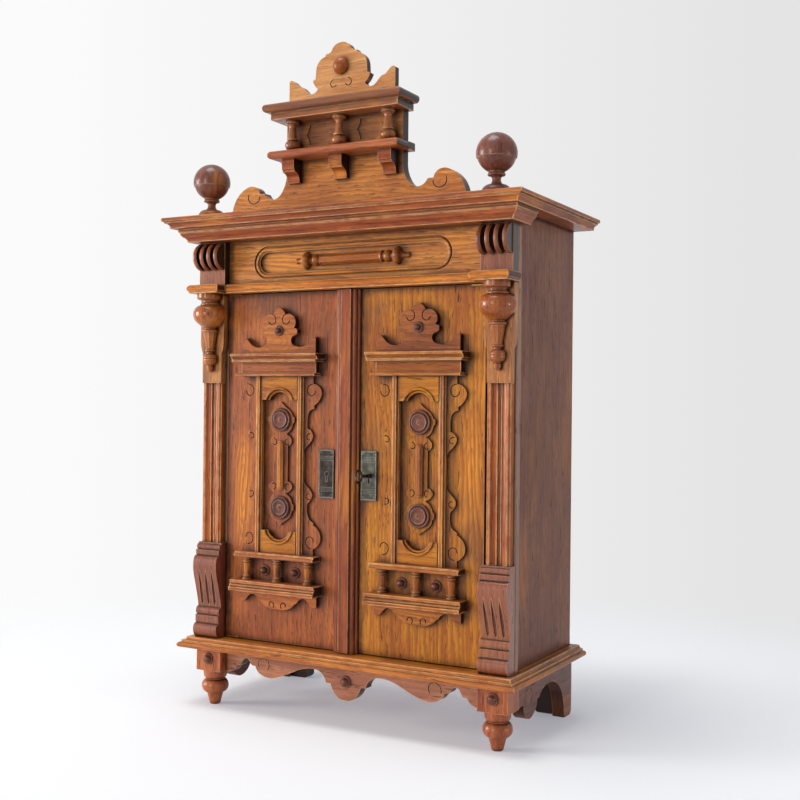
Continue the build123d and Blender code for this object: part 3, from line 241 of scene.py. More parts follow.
def wood_group():
    """Colour, roughness and height of waxed oak. Inputs say which tones the
    board has and where in the log it was cut."""
    tree = bpy.data.node_groups.new("waxed_oak", "ShaderNodeTree")
    face = tree.interface
    face.new_socket("Grain", in_out="INPUT", socket_type="NodeSocketVector")
    for name in ("Light", "Middle", "Dark", "Rubbed"):
        face.new_socket(name, in_out="INPUT", socket_type="NodeSocketColor")
    for name in ("Figure", "Pores", "Uneven", "Flame", "Smoke", "End", "Dirt And Shade", "Wear"):
        face.new_socket(name, in_out="INPUT", socket_type="NodeSocketFloat")
    face.new_socket("Color", in_out="OUTPUT", socket_type="NodeSocketColor")
    face.new_socket("Roughness", in_out="OUTPUT", socket_type="NodeSocketFloat")
    face.new_socket("Height", in_out="OUTPUT", socket_type="NodeSocketFloat")
    build = Nodes(tree)
    given = build.add("NodeGroupInput").outputs
    result = build.add("NodeGroupOutput").inputs
    grain = given["Grain"]
    ring, late = growth_rings(build, grain)
    pore = build.math("MULTIPLY", open_pores(build, grain, ring), given["Pores"])
    fibre = build.noise(grain, FIBRE, detail=3.0, rough=0.6)

    # long streaks of tone, with the rings, the fibres and the pores over them
    streak = build.noise(grain, STREAK, detail=3.0, rough=0.6)
    cloud = build.noise(grain, CLOUD, detail=3.0, rough=0.55)
    tone = build.math("ADD", build.math("MULTIPLY", streak, STREAK_SHARE),
                      build.math("MULTIPLY", cloud, CLOUD_SHARE))
    base = build.mix(build.ramp(tone, *LIGHT_SPAN), given["Middle"], given["Light"])
    rings = build.math("MULTIPLY", build.math("MULTIPLY", late, given["Figure"]), RING_STRENGTH)
    base = build.mix(rings, base, given["Dark"])
    base = build.mix(build.ramp(fibre, *FIBRE_SPAN, 0.0, FIBRE_STRENGTH), base, given["Dark"])
    base = build.mix(build.math("MULTIPLY", pore, PORE_STRENGTH), base, srgb(*PORE_TONE))
    base = aged_varnish(build, base, given, late)

    # stain drunk in by end grain with painted shade on faces turned from the lamps, wax
    # gathered in hollows with painted shade in them and to the right of raised parts, rubbed
    # pale arrises
    base = build.mix(given["End"], base, srgb(*SOAKED_AND_SHADE_TONE))
    base = build.mix(given["Dirt And Shade"], base, srgb(*GRIME_AND_SHADE_TONE))
    base = build.mix(given["Wear"], base, given["Rubbed"])
    build.put(result["Color"], base)

    rough = build.ramp(fibre, *WAX_SPAN, *WAX_ROUGHNESS)
    rough = build.math("ADD", rough, build.math("MULTIPLY", pore, PORE_ROUGHNESS))
    grime_and_shade_rough = build.math("MULTIPLY", given["Dirt And Shade"], GRIME_AND_SHADE_ROUGHNESS)
    build.put(result["Roughness"], build.math("ADD", rough, grime_and_shade_rough, clamp=True))
    height = build.math("SUBTRACT", build.math("MULTIPLY", fibre, FIBRE_HEIGHT), pore)
    height = build.math("SUBTRACT", height, build.math("MULTIPLY", late, LATE_DEPTH))
    build.put(result["Height"], height)
    return tree


def growth_rings(build, grain):
    """How far through its ring each point lies, and how far into the late wood. The
    rings are slightly conical, wavering shells round a distant pith."""
    across, depth, along = build.split(grain)
    squares = build.math("ADD", build.math("MULTIPLY", across, across),
                         build.math("MULTIPLY", depth, depth))
    shell = build.math("ADD", build.math("SQRT", squares),
                       build.math("MULTIPLY", along, CONE_SLOPE))
    for stretch, reach in ((SWAY, SWAY_MM), (RIPPLE, RIPPLE_MM)):
        waver = build.noise(grain, stretch, detail=2.0, rough=0.5)
        shell = build.math("ADD", shell, build.math("MULTIPLY", waver, reach))
    ring = build.math("FRACT", build.math("MULTIPLY", shell, RINGS_TO_MM))
    late = build.math("MULTIPLY", build.ramp(ring, *LATE_STARTS), build.ramp(ring, *LATE_ENDS))
    return ring, late


def open_pores(build, grain, ring):
    """Fine ticks and long dark vessels, crowded into the early wood."""
    early = build.ramp(ring, *EARLY_WOOD)
    kinds = []
    for stretch, detail, rarity, crowding, softness in PORES:
        waves = build.noise(grain, stretch, detail, rough=0.5)
        limit = build.math("SUBTRACT", rarity, build.math("MULTIPLY", early, crowding))
        kinds.append(build.ramp(waves, limit, build.math("ADD", limit, softness)))
    return build.math("MAXIMUM", *kinds)


def aged_varnish(build, base, given, late):
    """Varnish that has worn thin in some places and gone smoky in others."""
    patch = build.noise(given["Grain"], VARNISH, detail=2.0, rough=0.6)
    honey = build.mix(late, srgb(*HONEY_TONE), srgb(*LATE_HONEY_TONE))
    for span, drawn, tone in (
        (THIN_SPAN, given["Flame"], honey),
        (SMOKY_SPAN, given["Smoke"], srgb(*SMOKY_TONE)),
    ):
        share = build.ramp(patch, *span, 0.0, VARNISH_STRENGTH)
        share = build.math("MULTIPLY", share, given["Uneven"])
        base = build.mix(build.math("MAXIMUM", share, drawn), base, tone)
    return base


WOOD = wood_group()

# ---------------------------------------------------------------- a board of oak
GRAIN_TURN = {
    "x": (0.0, math.radians(-90.0), 0.0),
    "y": (math.radians(90.0), 0.0, 0.0),
    "z": (0.0, 0.0, 0.0),
}
GRAIN_WAY = {"x": (1.0, 0.0, 0.0), "y": (0.0, 1.0, 0.0), "z": (0.0, 0.0, 1.0)}
LOG_SPREAD_MM = 60.0    # how far across the log the boards are cut from each other
LOG_STEP_MM = 137.0     # and how far along it
LEAN = math.radians(1.5)

# screen tones of the finished wood: light, middle and dark
TONES = {
    "gold": ((204, 130, 30), (170, 92, 24), (92, 42, 13)),
    "amber": ((188, 108, 32), (150, 76, 25), (82, 35, 13)),
    "brown": ((168, 90, 32), (130, 62, 25), (68, 29, 12)),
    "rose": ((156, 86, 57), (122, 61, 42), (69, 31, 22)),
    "dark": ((128, 68, 44), (96, 47, 32), (52, 23, 15)),
    "pale": ((222, 166, 108), (196, 132, 78), (132, 76, 40)),
    "tan": ((206, 138, 78), (170, 104, 56), (98, 54, 26)),
    "ash": ((164, 124, 100), (138, 100, 80), (92, 62, 48)),
    "shade": ((144, 98, 78), (120, 80, 66), (72, 47, 41)),
    "copper": ((184, 108, 46), (146, 78, 34), (78, 36, 17)),
    "russet": ((186, 102, 48), (152, 79, 40), (80, 35, 19)),
    "honey": ((198, 120, 36), (162, 86, 28), (86, 38, 14)),
    "rosy": ((186, 102, 54), (150, 75, 40), (82, 35, 19)),
    "redwood": ((178, 92, 44), (140, 63, 29), (76, 30, 14)),
    "umber": ((170, 94, 42), (132, 68, 32), (72, 33, 17)),
    "blush": ((198, 134, 100), (166, 104, 78), (92, 50, 37)),
    "tawny": ((190, 110, 44), (156, 79, 32), (84, 37, 16)),
    "cognac": ((200, 104, 40), (162, 73, 27), (84, 33, 14)),
    "sienna": ((196, 112, 62), (160, 80, 47), (86, 37, 21)),
    "cherry": ((166, 86, 46), (132, 60, 33), (76, 30, 18)),
    "cedar": ((180, 106, 68), (146, 78, 49), (82, 40, 26)),
    "straw": ((220, 144, 66), (186, 110, 50), (102, 52, 24)),
    "ginger": ((208, 124, 52), (174, 92, 38), (92, 41, 17)),
    "fox": ((228, 140, 54), (198, 110, 40), (104, 48, 17)),
    "plum": ((146, 88, 70), (114, 65, 52), (60, 32, 25)),
    # near-black tone that paints shade
    "shadow_dark": ((66, 40, 30), (48, 28, 21), (28, 16, 12)),
}

# The usual board; a piece names only what differs from it. Lengths are in
# millimetres. A patch is its middle and half size, across and up the front, and
# its strength.
USUAL_BOARD = {
    "figure": 0.7,                # strength of the growth rings
    "pores": 0.8,                 # strength of the open pores
    "uneven": 1.0,                # strength of the thin and smoky varnish
    "flames": (),                 # golden patches
    "smokes": (),                 # greyed patches
    "end_grain_and_shade": 0.55,            # how far end grain is darkened, by stain and painted shade
    "painted_shade_way": None,             # the way that the faces with painted shade look, where not the grain's
    "returns": None,              # half length and front plane of a moulding whose end
                                  # runs have their grain along y
    "dirt_and_shade": 0.85,                 # strength of the grime and painted shade in corners
    "reach": 3.5,                 # how far it spreads from them
    "wear": 0.8,                  # strength of the rubbing on edges
    "arris": 1.1,                 # how broad it is
    "rubbed": (236, 180, 122),    # and its tone
    "specular": 0.22,
    "polish": 0.08,               # strength of the wax
    "sheen": 0.16,                # and its roughness
}

ARCHES = 5.5                      # rings of figure across the half size of a patch
ARCH_DEPTH = 0.6                  # how far they darken a golden one
ARCH_STARTS = (0.35, 0.9)
ARCH_ENDS = (1.0, 0.94)
PATCH_WAVES = (30.0, 0.0, 9.0)    # waves to a metre in the outline of a patch
PATCH_WAVER = 0.9
PATCH_SPAN = (1.55, 0.75)

# faces looking along the grain, or along the painted-shade way, go dark: end-grain stain with
# painted shade
END_AND_SHADE_SPAN = (0.55, 0.95)
SHADOW_LEAN = (-0.75, 0.0, 0.12)          # painted shadow: grime is drawn thickest to the right of what stands proud, where the key lamp on the left casts shade
# grime and painted shade in corners: where the openness starts to count and where it counts in
# full
GRIME_AND_SHADE_SPAN = (0.95, 0.42)
BLOTCH = (90.0, 90.0, 90.0)       # waves to a metre
GRIME_AND_SHADE_BLOTCH = (0.2, 0.6)
LEAST_GRIME_AND_SHADE = 0.6                 # shares of the full strength, between blotches
WEAR_BLOTCH = (0.3, 0.6)
LEAST_WEAR = 0.3
ARRIS_SPAN = (0.995, 0.84)
RUBBED_SPAN = (0.3, 0.7)
EDGE_ROUND = 0.6 * MM
RELIEF_STRENGTH = 0.35
RELIEF_DEPTH = 0.12 * MM


def wood(name, tone, axis, seed, **changes):
    """Oak for one node. axis is the way the grain runs; seed picks the board."""
    board = {**USUAL_BOARD, **changes}
    material, build, shader, _ = new_material(name)
    own = build.add("ShaderNodeTexCoord").outputs
    place = own["Object"]
    oak = build.add("ShaderNodeGroup", node_tree=WOOD)
    build.put(oak.inputs["Grain"], board_grain(build, place, axis, seed, board["returns"]))
    for socket, colour in zip(("Light", "Middle", "Dark"), TONES[tone]):
        build.put(oak.inputs[socket], srgb(*colour))
    build.put(oak.inputs["Rubbed"], srgb(*board["rubbed"]))
    build.put(oak.inputs["Figure"], board["figure"])
    build.put(oak.inputs["Pores"], board["pores"])
    build.put(oak.inputs["Uneven"], board["uneven"])
    if board["flames"]:
        build.put(oak.inputs["Flame"], patches(build, place, board["flames"], ARCH_DEPTH))
    if board["smokes"]:
        build.put(oak.inputs["Smoke"], patches(build, place, board["smokes"], 0.0))

    # end-grain stain and painted shade on faces that look along the grain or the painted-shade
    # way
    facing = build.vector("DOT_PRODUCT", own["Normal"], GRAIN_WAY[board["painted_shade_way"] or axis])
    end_and_shade = build.ramp(build.math("ABSOLUTE", facing), *END_AND_SHADE_SPAN, 0.0, board["end_grain_and_shade"])
    build.put(oak.inputs["End"], end_and_shade)
    dirt_and_shade, wear = grime_shade_and_wear(build, place, own["Normal"], board)
    build.put(oak.inputs["Dirt And Shade"], dirt_and_shade)
    build.put(oak.inputs["Wear"], wear)

    build.put(shader.inputs["Base Color"], oak.outputs["Color"])
    build.put(shader.inputs["Roughness"], oak.outputs["Roughness"])
    build.put(shader.inputs["Specular IOR Level"], board["specular"])
    build.put(shader.inputs["Coat Weight"], board["polish"])
    build.put(shader.inputs["Coat Roughness"], board["sheen"])
    build.relief(shader, oak.outputs["Height"], RELIEF_STRENGTH, RELIEF_DEPTH, EDGE_ROUND)
    return material


def board_grain(build, place, axis, seed, returns):
    """Where in the log each point of a board was. The end runs of a mitred moulding
    are cut from a board of their own."""
    grain = along_grain(build, place, axis, seed)
    if not returns:
        return grain
    half, front = returns
    x, y, _ = build.split(place)
    beside = build.math("SUBTRACT", build.math("ABSOLUTE", x), half * MM)
    ahead = build.math("SUBTRACT", front * MM, y)
    on_end = build.math("GREATER_THAN", beside, ahead)
    return build.mix(on_end, grain, along_grain(build, place, "y", seed + 3), kind="VECTOR")


def along_grain(build, place, axis, seed):
    """Object coordinates in millimetres, turned so that Z runs along the grain
    and moved to the seed's own place in the log. Sines of the seed scatter the
    boards and lean them a little."""
    turn = build.add("ShaderNodeMapping", vector_type="POINT")
    build.put(turn.inputs["Vector"], place)
    build.put(turn.inputs["Rotation"], GRAIN_TURN[axis])
    build.put(turn.inputs["Scale"], (1 / MM, 1 / MM, 1 / MM))
    tilt = LEAN * math.sin(seed * 2.7)
    lean = build.add("ShaderNodeMapping", vector_type="POINT")
    build.put(lean.inputs["Vector"], turn.outputs[0])
    build.put(lean.inputs["Rotation"], (tilt, tilt * 0.6, 0.0))
    build.put(lean.inputs["Location"], (
        LOG_SPREAD_MM * math.sin(seed * 1.7),
        LOG_SPREAD_MM * (1.2 + 0.5 * math.cos(seed * 2.3)),
        LOG_STEP_MM * seed,
    ))
    return lean.outputs[0]


def grime_shade_and_wear(build, place, normal, board):
    """How strong the grime with its painted shade in corners and the rubbing on edges are at
    each point.
    """
    # painted shadow: hollows are sought along a normal leaned to the left, so the darkening
    # falls to the right of raised parts
    shadow_leaned = build.add("ShaderNodeVectorTransform", vector_type="VECTOR",
                        convert_from="OBJECT", convert_to="WORLD")
    build.put(shadow_leaned.inputs[0], build.vector("ADD", normal, SHADOW_LEAN))
    shadow_leaned = build.vector("NORMALIZE", shadow_leaned.outputs[0])
    openness = build.openness(board["reach"] * MM, shadow_leaned)
    blotch = build.noise(place, BLOTCH, detail=3.0, rough=0.6)

    dirt_and_shade = build.ramp(openness, *GRIME_AND_SHADE_SPAN, 0.0, board["dirt_and_shade"])
    spread = build.ramp(blotch, *GRIME_AND_SHADE_BLOTCH, LEAST_GRIME_AND_SHADE, 1.0)
    dirt_and_shade = build.math("MULTIPLY", dirt_and_shade, spread, clamp=True)

    wear = build.arris(board["arris"] * MM, ARRIS_SPAN)
    wear = build.math("MULTIPLY", wear, build.ramp(openness, *RUBBED_SPAN))
    spread = build.ramp(blotch, *WEAR_BLOTCH, LEAST_WEAR * board["wear"], board["wear"])
    return dirt_and_shade, build.math("MULTIPLY", wear, spread, clamp=True)


def patches(build, place, ellipses, arch_depth):
    """Soft-edged ellipses on the front of a board, strongest in the middle and
    crossed by the arches of the figure."""
    waver = build.noise(place, PATCH_WAVES, detail=3.0, rough=0.6)
    waver = build.math("MULTIPLY", waver, PATCH_WAVER)
    total = None
    for x, z, half_x, half_z, strength in ellipses:
        away = build.vector("SUBTRACT", place, (x * MM, 0.0, z * MM))
        away = build.vector("MULTIPLY", away, (1 / (half_x * MM), 0.0, 1 / (half_z * MM)))
        far = build.math("ADD", build.vector("LENGTH", away), waver)
        arch = build.math("FRACT", build.math("MULTIPLY", far, ARCHES))
        arch = build.math("MULTIPLY", build.ramp(arch, *ARCH_STARTS),
                          build.ramp(arch, *ARCH_ENDS))
        clear = build.math("SUBTRACT", 1.0, build.math("MULTIPLY", arch, arch_depth))
        patch = build.math("MULTIPLY", build.ramp(far, *PATCH_SPAN, 0.0, strength), clear)
        total = patch if total is None else build.math("MAXIMUM", total, patch)
    return total


# ---------------------------------------------------------------- metal
MOTTLE = (160.0, 160.0, 160.0)    # waves to a metre
SCRATCH = (2200.0, 2200.0, 300.0)
DULL_SPAN = (0.25, 0.6)
SOOT_TONE = (22, 18, 15)
SOOT_REACH = 2.0 * MM
SOOT_SPAN = (0.9, 0.3)
SOOT_STRENGTH = 0.8
# rubbed edges of metal, partly a painted highlight
RUBBED_HIGHLIGHT_TONE = (186, 184, 176)
RUBBED_HIGHLIGHT_WIDTH = 0.6 * MM
RUBBED_HIGHLIGHT_SPAN = (0.995, 0.88)
ROUGHNESS_SPAN = (0.3, 0.7)
SCRATCH_STRENGTH = 0.25
SCRATCH_DEPTH = 0.05 * MM
METAL_ROUND = 0.25 * MM


def metal(name, tone, dull, roughness, seed, worn):
    """Aged metal: a base tone mottled with a dull one, darker in its hollows and
    rubbed bright on its edges, partly a painted highlight, by as much as its last argument
    says."""
    material, build, shader, _ = new_material(name)
    place = build.add("ShaderNodeTexCoord").outputs["Object"]
    place = build.vector("ADD", place, (seed, seed * 0.7, seed * 0.3))
    mottle = build.noise(place, MOTTLE, detail=4.0, rough=0.65)
    scratch = build.noise(place, SCRATCH, detail=2.0, rough=0.5)
    base = build.mix(build.ramp(mottle, *DULL_SPAN), srgb(*tone), srgb(*dull))
    soot = build.ramp(build.openness(SOOT_REACH), *SOOT_SPAN, 0.0, SOOT_STRENGTH)
    base = build.mix(soot, base, srgb(*SOOT_TONE))
    # painted highlight, partly real rubbing: the edges are lightened toward a pale tone
    if worn:
        rubbed_highlight = build.arris(RUBBED_HIGHLIGHT_WIDTH, RUBBED_HIGHLIGHT_SPAN, worn)
        base = build.mix(rubbed_highlight, base, srgb(*RUBBED_HIGHLIGHT_TONE))
    build.put(shader.inputs["Base Color"], base)
    build.put(shader.inputs["Roughness"], build.ramp(mottle, *ROUGHNESS_SPAN, *roughness))
    build.put(shader.inputs["Metallic"], 1.0)
    height = build.math("ADD", scratch, mottle)
    build.relief(shader, height, SCRATCH_STRENGTH, SCRATCH_DEPTH, METAL_ROUND)
    return material


# ---------------------------------------------------------------- which piece has which
# near-black ends: end-grain stain with painted shade on faces turned from the lamps
DARK_END_AND_SHADE = 0.97
BROAD_ARRIS = 1.9
# rubbed tone of the rosettes' rings, partly worn and partly a painted highlight
RUBBED_HIGHLIGHT_GREY = (176, 142, 126)
MOULDED = {"figure": 0.5, "end_grain_and_shade": DARK_END_AND_SHADE, "wear": 1.0, "arris": BROAD_ARRIS}
MITRED = {"end_grain_and_shade": 0.1, "wear": 1.0, "arris": BROAD_ARRIS}
LATHED = {"figure": 0.4, "end_grain_and_shade": 0.15}

# node: tone, grain axis, and any settings that differ from the usual board
CASE_WOOD = {
    "base_board": ("gold", "x", {}),
    "base_moulding": ("ginger", "x", {**MITRED, "returns": (165.5, -64.5)}),
    # painted sheen and shade: the side panels take a greyed copy of the oak's tones, named
    # shade
    "side_panels": ("shade", "z", {"figure": 0.45, "uneven": 0.3, "specular": 0.05,
                                   "polish": 0.03}),
    "back_panel": ("brown", "z", {"wear": 0.2}),
    "top_board": ("brown", "x", {}),
    "front_stiles": ("ash", "z", {"figure": 0.3, "uneven": 0.4}),
    "door_stops": ("brown", "x", {}),
    "thimble_shelves": ("brown", "x", {"figure": 0.5}),
    "frieze_board": ("straw", "x", {"figure": 0.9, "end_grain_and_shade": DARK_END_AND_SHADE, "reach": 8.0,
                                    "wear": 0.4, "flames": ((108, 436, 16, 9, 0.7),)}),
    "frieze_spindle": ("amber", "x", {"figure": 0.4, "polish": 0.25}),
    "string_course": ("fox", "x", {**MOULDED, "figure": 0.7}),
    # painted shade: the sides of the ribs that face along x are darkened like end grain
    "corner_blocks": ("cedar", "z", {"uneven": 0.5, "end_grain_and_shade": DARK_END_AND_SHADE, "painted_shade_way": "x",
                                     "polish": 0.4, "sheen": 0.25}),
    "pendant_plaques": ("tan", "z", {"wear": 0.4}),
    "drop_pendants": ("tawny", "z", {**LATHED, "polish": 0.35}),
    "reeded_pilasters": ("cognac", "z", {"figure": 0.5, "uneven": 0.6, "wear": 0.85,
                                         "arris": BROAD_ARRIS}),
    "scroll_consoles": ("rose", "z", {"figure": 0.5, "uneven": 0.5, "wear": 0.4,
                                      "polish": 0.6, "sheen": 0.2}),
    "ball_finials": ("plum", "z", {**LATHED, "figure": 0.6, "polish": 0.2}),
    "cornice_board": ("brown", "x", {}),
    "cornice_moulding": ("redwood", "x", {**MITRED, "returns": (165.5, -68.2)}),
    "pediment_board": ("straw", "x", {"figure": 0.8, "uneven": 0.7, "end_grain_and_shade": DARK_END_AND_SHADE,
                                      "reach": 8.0, "wear": 0.4,
                                      "smokes": ((0, 542, 90, 18, 0.6),)}),
    "gallery_shelves": ("sienna", "x", {**MOULDED, "figure": 0.7, "polish": 0.4,
                                        "smokes": ((0, 565, 160, 16, 0.7),)}),
    "gallery_balusters": ("copper", "z", {**LATHED, "polish": 0.6}),
    # painted light: the golden patch on the middle corbel stands for the light falling on it
    "gallery_corbels": ("redwood", "x", {"end_grain_and_shade": DARK_END_AND_SHADE,
                                         "flames": ((0, 504, 9, 14, 0.7),)}),
    "crest_board": ("pale", "x", {"figure": 0.5, "pores": 0.5, "uneven": 0.5,
                                  "end_grain_and_shade": DARK_END_AND_SHADE}),
    "crest_boss": ("amber", "y", {"figure": 0.3, "pores": 0.3, "end_grain_and_shade": 0.0}),
    "turned_buttons": ("dark", "z", {**LATHED, "figure": 0.3, "polish": 0.3}),
    "front_apron": ("blush", "x", {"uneven": 0.5, "end_grain_and_shade": DARK_END_AND_SHADE}),
    "side_aprons": ("dark", "y", {"uneven": 0.4}),
    # painted shade: the brackets seen through the apron's arch get a near-black tone for the
    # shade there
    "rear_brackets": ("shadow_dark", "x", {"uneven": 0.0, "wear": 0.3}),
    "front_feet": ("sienna", "z", {**LATHED, "figure": 0.5, "polish": 0.2}),
}

FIELD = {"figure": 0.6, "pores": 1.0, "dirt_and_shade": 0.95, "reach": 10.0, "wear": 0.25}
SAWN = {"figure": 0.5, "uneven": 0.3, "end_grain_and_shade": DARK_END_AND_SHADE, "wear": 0.15}
TURNED = {"figure": 0.3, "end_grain_and_shade": 0.1, "polish": 0.25}
# the pale rubbed edges of the rosettes are partly wear and partly a painted highlight
FUMED = {**TURNED, "uneven": 0.0, "wear": 1.0, "rubbed": RUBBED_HIGHLIGHT_GREY}
LEFT_FIELD = {
    **FIELD,
    "uneven": 0.5,
    "flames": ((-118, 215, 13, 75, 0.75), (-128, 365, 7, 28, 0.4)),
    "smokes": ((-80, 392, 45, 26, 0.6), (-26, 200, 10, 200, 0.35)),
}
RIGHT_FIELD = {**FIELD, "figure": 0.8, "flames": ((124, 210, 12, 105, 0.75),)}
LEFT_CRESTS = {**SAWN, "flames": ((-76, 352, 48, 26, 0.4),)}
RIGHT_CRESTS = {**SAWN, "flames": ((71, 106, 48, 12, 0.5),)}

# side: for its board and each applied piece, the tone, grain axis, seed and settings
DOOR_WOOD = {
    "left": {
        "board": ("russet", "z", 40, LEFT_FIELD),
        "frets": ("russet", "z", 40, LEFT_FIELD),
        "crestings": ("russet", "x", 41, LEFT_CRESTS),
        "mouldings": ("rosy", "x", 42, MOULDED),
        "strips": ("honey", "z", 43, MOULDED),
        "spandrels": ("gold", "x", 44, SAWN),
        "turnings": ("honey", "z", 46, TURNED),
        "rosettes": ("dark", "z", 47, FUMED),
    },
    "right": {
        "board": ("gold", "z", 61, RIGHT_FIELD),
        "frets": ("gold", "z", 61, RIGHT_FIELD),
        "crestings": ("umber", "x", 62, RIGHT_CRESTS),
        "mouldings": ("amber", "x", 63, MOULDED),
        "strips": ("honey", "z", 64, MOULDED),
        "spandrels": ("gold", "x", 65, SAWN),
        "turnings": ("amber", "z", 67, TURNED),
        "rosettes": ("dark", "z", 68, FUMED),
    },
}
BEAD_SEED = 80

# metal: base tone, dull tone, least and greatest roughness, seed, strength of the rubbed edges
# with their painted highlight, and its nodes
METALS = {
    "brown_plate": ((78, 70, 64), (44, 39, 36), (0.34, 0.52), 1.0, 0.8, (
        "left_escutcheon",)),
    "green_plate": ((108, 108, 96), (62, 60, 54), (0.34, 0.52), 1.6, 0.8, (
        "right_escutcheon",)),
    "key_steel": ((120, 112, 104), (66, 54, 48), (0.28, 0.5), 2.0, 0.0, (
        "key",)),
    "aged_brass": ((196, 158, 92), (120, 92, 52), (0.3, 0.5), 3.0, 0.0, (
        "case_pivots", "left_door_pivots", "right_door_pivots", "strike_box",
        "slide_guides", "lock_bolt")),
    "dull_steel": ((150, 146, 140), (92, 84, 78), (0.35, 0.55), 4.0, 0.0, (
        "back_pins", "upper_slide_bolt", "lower_slide_bolt", "lock_case")),
}


def dress(node, material):
    """Gives one CAD node its material."""
    mesh = nodes[node]
    for slot in mesh.material_slots:
        slot.material = material
    if not mesh.material_slots:
        mesh.data.materials.append(material)


def dress_case():
    for seed, (node, (tone, axis, changes)) in enumerate(CASE_WOOD.items(), start=1):
        dress(node, wood(node, tone, axis, seed, **changes))


def dress_doors():
    for side, parts in DOOR_WOOD.items():
        for part, (tone, axis, seed, changes) in parts.items():
            name = f"{side}_door_{part}"
            dress(name, wood(name, tone, axis, seed, **changes))
    bead = wood("meeting_bead", "cherry", "z", BEAD_SEED, figure=0.6, wear=1.0)
    dress("meeting_bead", bead)


def dress_metal():
    for name, (*looks, pieces) in METALS.items():
        material = metal(name, *looks)
        for node in pieces:
            dress(node, material)


# ---------------------------------------------------------------- backdrop
BACKDROP_HALF = 6.0
BACKDROP_FRONT = -4.0
BACKDROP_BACK = 3.0
BACKDROP_HIGH = 5.0
CURVE_RADIUS = 1.2
CURVE_STEPS = 24
FLOOR_TONE = (0.90, 0.90, 0.905, 1.0)
FLOOR_ROUGHNESS = 0.9
FLOOR_SPECULAR = 0.1
PAPER_TONES = (0.965, 0.775)           # a painted fall-off of light, far to the left and far to the right of the object
PAPER_FAN = (-0.3, 0.3)                # where those are, as slopes across the view
NEAR_TONE = (0.735, 0.72, 0.68, 1.0)   # the paper close to the object
NEAR_GLOW = (0.205, 0.22, 0.265, 1.0)
NEAR_REACH = (0.38, 0.85)              # how far out it starts and ends giving way


def backdrop_mesh():
    """Floor that curves up into a wall."""
    profile = [(BACKDROP_FRONT, 0.0)]
    for step in range(CURVE_STEPS + 1):
        angle = math.pi / 2 * step / CURVE_STEPS
        profile.append((
            BACKDROP_BACK - CURVE_RADIUS + CURVE_RADIUS * math.sin(angle),
            CURVE_RADIUS * (1 - math.cos(angle)),
        ))
    profile.append((BACKDROP_BACK, BACKDROP_HIGH))
    verts = [(side * BACKDROP_HALF, y, z) for y, z in profile for side in (-1, 1)]
    faces = [(2 * i, 2 * i + 1, 2 * i + 3, 2 * i + 2) for i in range(len(profile) - 1)]
    mesh = bpy.data.meshes.new("backdrop")
    mesh.from_pydata(verts, [], faces)
    for polygon in mesh.polygons:
        polygon.use_smooth = True
    return mesh


def looked_at(build):
    """1 where the surroundings are seen directly, mirrored or through something."""
    path = build.add("ShaderNodeLightPath").outputs
    seen = build.math("MAXIMUM", path["Is Camera Ray"], path["Is Glossy Ray"])
    return build.math("MAXIMUM", seen, path["Is Transmission Ray"])


def far_paper(build, place):
    """A painted fall-off of light: an even tone that falls off from the left of the view to its
    right.
    """
    eye = Matrix.Rotation(-CAMERA_YAW, 3, "Z") @ CAMERA_PLACE
    x, y, _ = build.split(place)
    across = build.math("SUBTRACT", x, eye.x)
    away = build.math("ABSOLUTE", build.math("SUBTRACT", y, eye.y))
    fan = build.math("DIVIDE", across, away)
    paper = build.add("ShaderNodeEmission")
    build.put(paper.inputs["Strength"], build.ramp(fan, *PAPER_FAN, *PAPER_TONES, smooth=False))
    return paper.outputs[0]


def near_paper(build):
    """Lit paper that takes the object's shadow."""
    ground = build.add("ShaderNodeBsdfDiffuse")
    build.put(ground.inputs["Color"], NEAR_TONE)
    glow = build.add("ShaderNodeEmission")
    build.put(glow.inputs["Color"], NEAR_GLOW)
    lit = build.add("ShaderNodeAddShader")
    build.put(lit.inputs[0], ground.outputs[0])
    build.put(lit.inputs[1], glow.outputs[0])
    return lit.outputs[0]


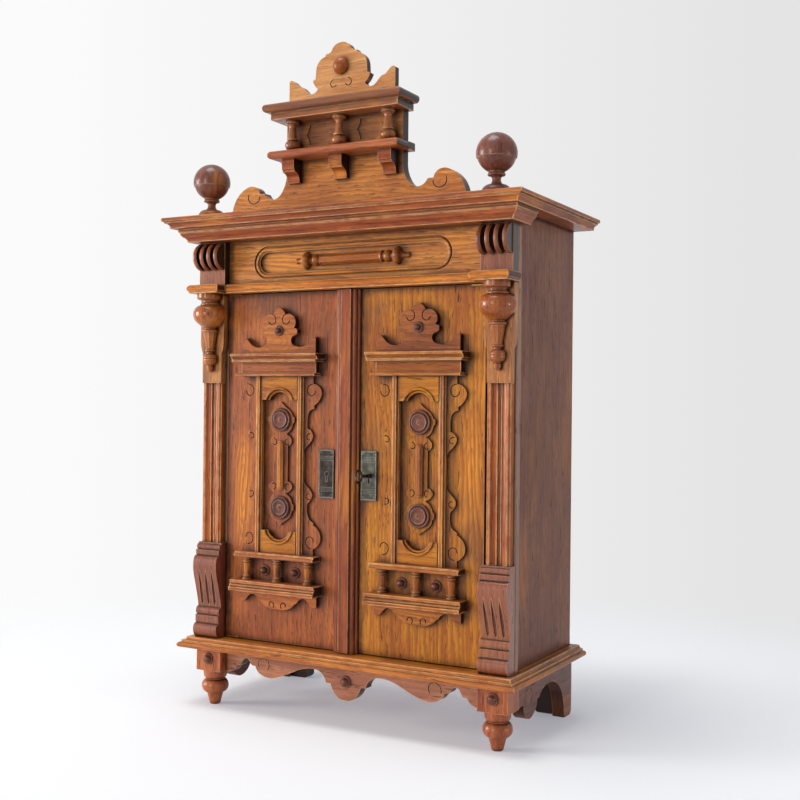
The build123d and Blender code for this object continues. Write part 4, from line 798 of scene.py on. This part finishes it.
def add_backdrop():
    material, build, shader, output = new_material("backdrop")
    build.put(shader.inputs["Base Color"], FLOOR_TONE)
    build.put(shader.inputs["Roughness"], FLOOR_ROUGHNESS)
    build.put(shader.inputs["Specular IOR Level"], FLOOR_SPECULAR)
    place = build.add("ShaderNodeTexCoord").outputs["Object"]
    far = build.ramp(build.vector("LENGTH", place), *NEAR_REACH)
    paper = build.mix_shader(far, near_paper(build), far_paper(build, place))
    seen = build.mix_shader(looked_at(build), shader.outputs[0], paper)
    build.put(output.inputs["Surface"], seen)

    mesh = backdrop_mesh()
    mesh.materials.append(material)
    backdrop = bpy.data.objects.new("backdrop", mesh)
    # turned so that the wall stands square behind the object as the camera sees it
    backdrop.rotation_euler = (0.0, 0.0, CAMERA_YAW)
    bpy.context.scene.collection.objects.link(backdrop)


# ---------------------------------------------------------------- light
# lamp: place, height aimed at, size, watts and tint
LAMPS = {
    "key": ((-2.3, -1.3, 0.50), 0.32, (0.9, 1.2), 60.0, (1.0, 0.985, 0.955)),
    "front": ((-0.35, -2.6, 0.62), 0.32, (0.35, 1.0), 15.0, (1.0, 0.985, 0.96)),
    "side": ((2.4, 0.1, 0.2), 0.2, (0.3, 0.5), 10.0, (0.96, 0.98, 1.0)),
    "top": ((-0.2, -0.4, 2.3), 0.32, (1.0, 1.0), 29.0, (0.92, 0.96, 1.0)),
}
AMBIENT_TINT = (0.93, 0.95, 1.0, 1.0)
AMBIENT_STRENGTH = 0.36


def add_lamp(name, place, height, size, watts, tint):
    data = bpy.data.lights.new(name, "AREA")
    data.shape = "RECTANGLE"
    data.size, data.size_y = size
    data.energy = watts
    data.color = tint
    lamp = bpy.data.objects.new(name, data)
    lamp.location = place
    direction = Vector((0.0, 0.0, height)) - Vector(place)
    lamp.rotation_euler = direction.to_track_quat("-Z", "Y").to_euler()
    bpy.context.scene.collection.objects.link(lamp)


def add_world():
    """Even light from all round, with the tone of the paper where it is looked at."""
    world = bpy.data.worlds.new("studio")
    bpy.context.scene.world = world
    world.use_nodes = True
    tree = world.node_tree
    tree.nodes.clear()
    build = Nodes(tree)
    ambient = build.add("ShaderNodeBackground")
    build.put(ambient.inputs["Color"], AMBIENT_TINT)
    build.put(ambient.inputs["Strength"], AMBIENT_STRENGTH)
    seen = build.add("ShaderNodeBackground")
    build.put(seen.inputs["Color"], (PAPER_TONES[1],) * 3 + (1.0,))
    output = build.add("ShaderNodeOutputWorld")
    picked = build.mix_shader(looked_at(build), ambient.outputs[0], seen.outputs[0])
    build.put(output.inputs["Surface"], picked)


add_camera()
dress_case()
dress_doors()
dress_metal()
add_backdrop()
for lamp, settings in LAMPS.items():
    add_lamp(lamp, *settings)
add_world()
bpy.context.scene.view_settings.view_transform = "Standard"
